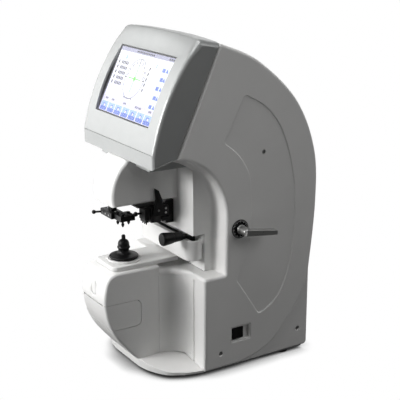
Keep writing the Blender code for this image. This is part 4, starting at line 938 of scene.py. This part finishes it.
def mechanism():
    """The lens retainer with its sprung pins, and the marking unit."""
    pin_ring = 8.5
    refined("retainer_block", 0.6, BLACK, 40.0, body="retainer")
    for k, turn in enumerate((-30.0, 90.0, 210.0), 1):
        x, y = pin_ring * math.cos(math.radians(turn)), AXIS_Y + pin_ring * math.sin(math.radians(turn))
        profile = [(0.001, 216.5), (2.2, 216.45), (2.6, 216.1), (2.6, 214.8), (2.3, 214.5), (1.5, 214.4),
                   (1.5, 203.4), (2.1, 202.9), (2.15, 202.5), (2.1, 200.8), (1.8, 200.2), (1.3, 199.9),
                   (1.25, 198.8), (0.8, 198.2), (0.001, 198.0)]
        stand_in("retainer_pin_%d" % k, turned(profile, 32, (x, y, 0.0)), BLACK, "pin_%d" % k)
    refined("retainer_guide", 0.4, BLACK, 45.0)
    refined("marker_base", 0.9, BLACK, 40.0, 3)
    refined("marker_carriage", 0.5, BLACK, 40.0, body="marker")
    refined("marker_head", 0.4, BLACK, 50.0, body="marker_dipper")
    for k, at in enumerate([(31.5, -19.0, 223.0), (31.5, -19.0, 217.0), (34.4, -31.5, 222.0)]):
        piece("marker_screw_%d" % k, slotted_screw(at, "X"), STEEL, "marker")
    for k, x in enumerate((-14.0, -37.5), 1):
        piece("retainer_screw_%d" % k, slotted_screw((x, -72.5, 214.5), "Z", 1.5), STEEL, "retainer")
    for k, x in enumerate((-17.0, -27.0, -37.0)):
        piece("retainer_face_screw_%d" % k, slotted_screw((x, -82.0, 210.0), "Y", 1.3, 0.5), STEEL,
              "retainer")


# ---- side lever, switch and sockets ----
def side_lever():
    """The dial on the side cover, its ticks, and the hub and handle that turn."""
    y, z = PINION_Y, PINION_Z
    dial = [(4.8, 0.3), (12.9, 0.3), (13.2, 0.5), (13.2, 1.0), (12.8, 1.4), (9.0, 1.4), (8.6, 1.1),
            (4.8, 1.1)]
    disc = turned(dial, 72, (BODY_HALF, y, z), "X", hollow=True)
    stand_in("lever_dial", disc, BLACK)
    ticks = bpy.data.meshes.new("ticks")
    spots, faces = [], []
    block = ((3, 2, 1, 0), (4, 5, 6, 7), (0, 1, 5, 4), (1, 2, 6, 5), (2, 3, 7, 6), (3, 0, 4, 7))
    for k in range(36):
        a = 2.0 * math.pi * k / 36.0
        c, s = math.cos(a), math.sin(a)
        inner, outer, wide = (9.4 if k % 3 == 0 else 10.6), 12.4, 0.22
        first = len(spots)
        for height in (103.35, 103.46):
            for r, w in ((inner, -wide), (outer, -wide), (outer, wide), (inner, wide)):
                spots.append((height, y + r * c - w * s, z + r * s + w * c))
        faces += [tuple(first + i for i in face) for face in block]
    ticks.from_pydata(spots, [], faces)
    piece("lever_dial_ticks", new_object("ticks", ticks), WHITE)
    hub = turned([(0.001, 104.6), (5.6, 104.6), (6.4, 105.0), (6.7, 105.5), (6.7, 106.6), (6.3, 107.2),
                  (6.0, 107.4), (6.0, 121.4), (5.7, 121.9), (5.3, 122.0), (0.001, 122.0)], 64, (0.0, y, z), "X")
    tip = Vector((102.5, 193.5))
    along = (tip - Vector((y, z))).normalized()
    side = Vector((-along.y, along.x))
    start = Vector((y, z)) - along * 4.4
    bar = prism([tuple(start - side * 4.6), tuple(tip - side * 3.4), tuple(tip + side * 3.4),
                 tuple(start + side * 4.6)], 117.0, 126.0)
    stand_in("lever_handle", plus(hub, rounded(bar, 0.9, 4, 50.0)), SILVER, "side_lever")


def switch():
    y, z = SWITCH_CENTRE
    bezel = prism(round_box(SWITCH_HALF[0] - GAP, SWITCH_HALF[1] - GAP, 2.1, SWITCH_CENTRE),
                  BODY_HALF - 12.0, BODY_HALF - 0.6)
    bezel = minus(bezel, stack([(round_box(14.4, 9.4, 1.0, SWITCH_CENTRE), BODY_HALF - 5.5),
                                (round_box(15.2, 10.2, 1.6, SWITCH_CENTRE), BODY_HALF + 0.4)]),
                  box((BODY_HALF - 10.0, y - 14.0, z - 8.5), (BODY_HALF - 2.0, y + 6.0, z + 8.5)))
    stand_in("switch_bezel", bezel, WHITE)
    rocker = prism([(-1.6, -9.3), (3.3, -9.3), (3.9, -8.7), (3.45, -3.0), (3.1, 0.0), (3.45, 3.0), (3.9, 8.7),
                    (3.3, 9.3), (-1.6, 9.3)], -7.8, 7.8, "Z")
    rocker = rounded(rocker, 0.35, 2, 30.0)
    rocker.data.transform(Matrix.Rotation(math.radians(4.0), 4, "Z"))
    rocker.data.transform(Matrix.Translation((BODY_HALF - 5.4, y - 4.0, z)))
    stand_in("power_rocker", rocker, BLACK, "rocker")


def screws():
    places = [("upper", BODY_HALF, COVER_SCREWS[0]), ("front", BODY_HALF, COVER_SCREWS[1]),
              ("rear", REAR_HALF, BLOCK_SCREW)]
    for side in (-1, 1):
        for name, half, (y, z) in places:
            face = half - WALL - 0.4
            screw = [(0.001, 0.0), (2.6, 0.0), (2.6, 0.8), (2.2, 1.3), (1.4, 1.4), (0.001, 1.4)]
            screw = turned([(radius, face + rise) for radius, rise in screw], 32, (0.0, y, z), "X")
            screw = minus(screw, box((face + 0.5, y - 1.7, z - 0.3), (face + 3.0, y + 1.7, z + 0.3)),
                          box((face + 0.5, y - 0.3, z - 1.7), (face + 3.0, y + 0.3, z + 1.7)))
            stand_in("cover_screw_%s_%s" % (hand(side), name), sided(screw, side), STEEL)


# ---- everything together ----
for row in frame["record"]["subparts"]:
    for holder in frame["nodes"][row["node"]].material_slots:
        holder.material = SLOTS[row["material_slot"]]

for one in (1, -1):
    side_cover(one)
    window_fillet(one)
for make in (rear_covers, lower_front, nose, stage, base, column, upper_optics, head, display, lens_table,
             mechanism, side_lever, switch, screws):
    make()

FAR = 15.0
CORNERS = [(-FAR, -FAR), (FAR, -FAR), (FAR, FAR), (-FAR, FAR)]
floor_mesh = bpy.data.meshes.new("floor")
floor_mesh.from_pydata([(x, y, 0.0) for x, y in CORNERS], [], [(0, 1, 2, 3)])
floor_object = new_object("floor", floor_mesh)
# The floor glows evenly white, with a painted contact shadow: its glow darkens where ambient occlusion finds
# the object close above.
floor_glow_and_painted_shadow, floor_tree, floor_shader = nodes_of("floor_white")
contact_shadow_mask = add(floor_tree, "ShaderNodeAmbientOcclusion", Distance=0.03, samples=16)
# depth is the painted contact shadow colour: near black where the object sits close, white elsewhere.
depth = ramp(floor_tree, contact_shadow_mask.outputs["AO"], (0.02, 0.02, 0.02), (1.0, 1.0, 1.0), (0.15, 0.85))
dress(floor_tree, floor_shader, {"Emission Color": depth}, Emission_Strength=1.0,
      Base_Color=(0.0, 0.0, 0.0, 1.0), Specular_IOR_Level=0.0, Roughness=0.9)
floor_mesh.materials.append(floor_glow_and_painted_shadow)
floor_object.visible_diffuse = floor_object.visible_glossy = False

# Pale walls far behind, seen only by the camera.
wall_mesh = bpy.data.meshes.new("walls")
wall_mesh.from_pydata([(x, y, z) for z in (0.0, FAR) for x, y in CORNERS], [],
                      [(i, i + 4, (i + 1) % 4 + 4, (i + 1) % 4) for i in range(4)])
wall_mesh.materials.append(floor_glow_and_painted_shadow)
walls = new_object("backdrop", wall_mesh)
walls.visible_diffuse = walls.visible_glossy = walls.visible_shadow = walls.visible_transmission = False


# Area lights: name, size, power, place and the spot each one faces.
for name, size, power, place, target in [
        ("key", (0.9, 0.9), 47.0, (-0.5, -2.3, 1.0), (0.0, 0.0, 0.2)),
        ("left", (1.8, 1.6), 21.0, (-1.9, -1.2, 0.8), (0.0, 0.0, 0.2)),
        ("top", (1.4, 1.4), 28.0, (0.0, -0.5, 2.4), (0.0, 0.0, 0.2)),
        ("fill", (1.4, 1.4), 11.0, (2.0, 1.2, 1.8), (0.0, 0.0, 0.2)),
        ("rim", (1.6, 1.6), 10.0, (-2.0, 1.3, 1.3), (0.0, 0.0, 0.4)),
        ("back", (1.6, 1.6), 10.0, (0.3, 2.5, 1.2), (0.0, 0.0, 0.2)),
        ("bounce", (1.4, 1.4), 11.0, (-0.95, -0.85, 0.004), (-0.95, -0.85, 1.0)),
        ("bounce_right", (0.9, 0.9), 2.2, (0.75, -0.85, 0.004), (0.75, -0.85, 1.0))]:
    light = bpy.data.lights.new(name, "AREA")
    light.shape, light.size, light.size_y = "RECTANGLE", *size
    light.energy = power
    lamp = new_object(name, light)
    lamp.location = place
    lamp.rotation_euler = (Vector(target) - Vector(place)).to_track_quat("-Z", "Y").to_euler()
    lamp.visible_camera = False

world = bpy.data.worlds.new("studio")
world.use_nodes = True
sky = world.node_tree.nodes["Background"]
sky.inputs["Color"].default_value = (1.0, 1.0, 1.0, 1.0)
sky.inputs["Strength"].default_value = 0.06
bpy.context.scene.world = world
bpy.context.scene.view_settings.view_transform = "Standard"

camera = bpy.data.cameras.new("camera")
camera.lens, camera.sensor_width, camera.clip_end = 90.14, 36.0, 20.0
camera_object = new_object("camera", camera)
camera_object.location = (1.1601, -0.7007, 0.6265)
camera_object.rotation_euler = (math.radians(90.0 - 16.41), 0.0, math.radians(58.37))
bpy.context.scene.camera = camera_object

bpy.context.view_layer.update()
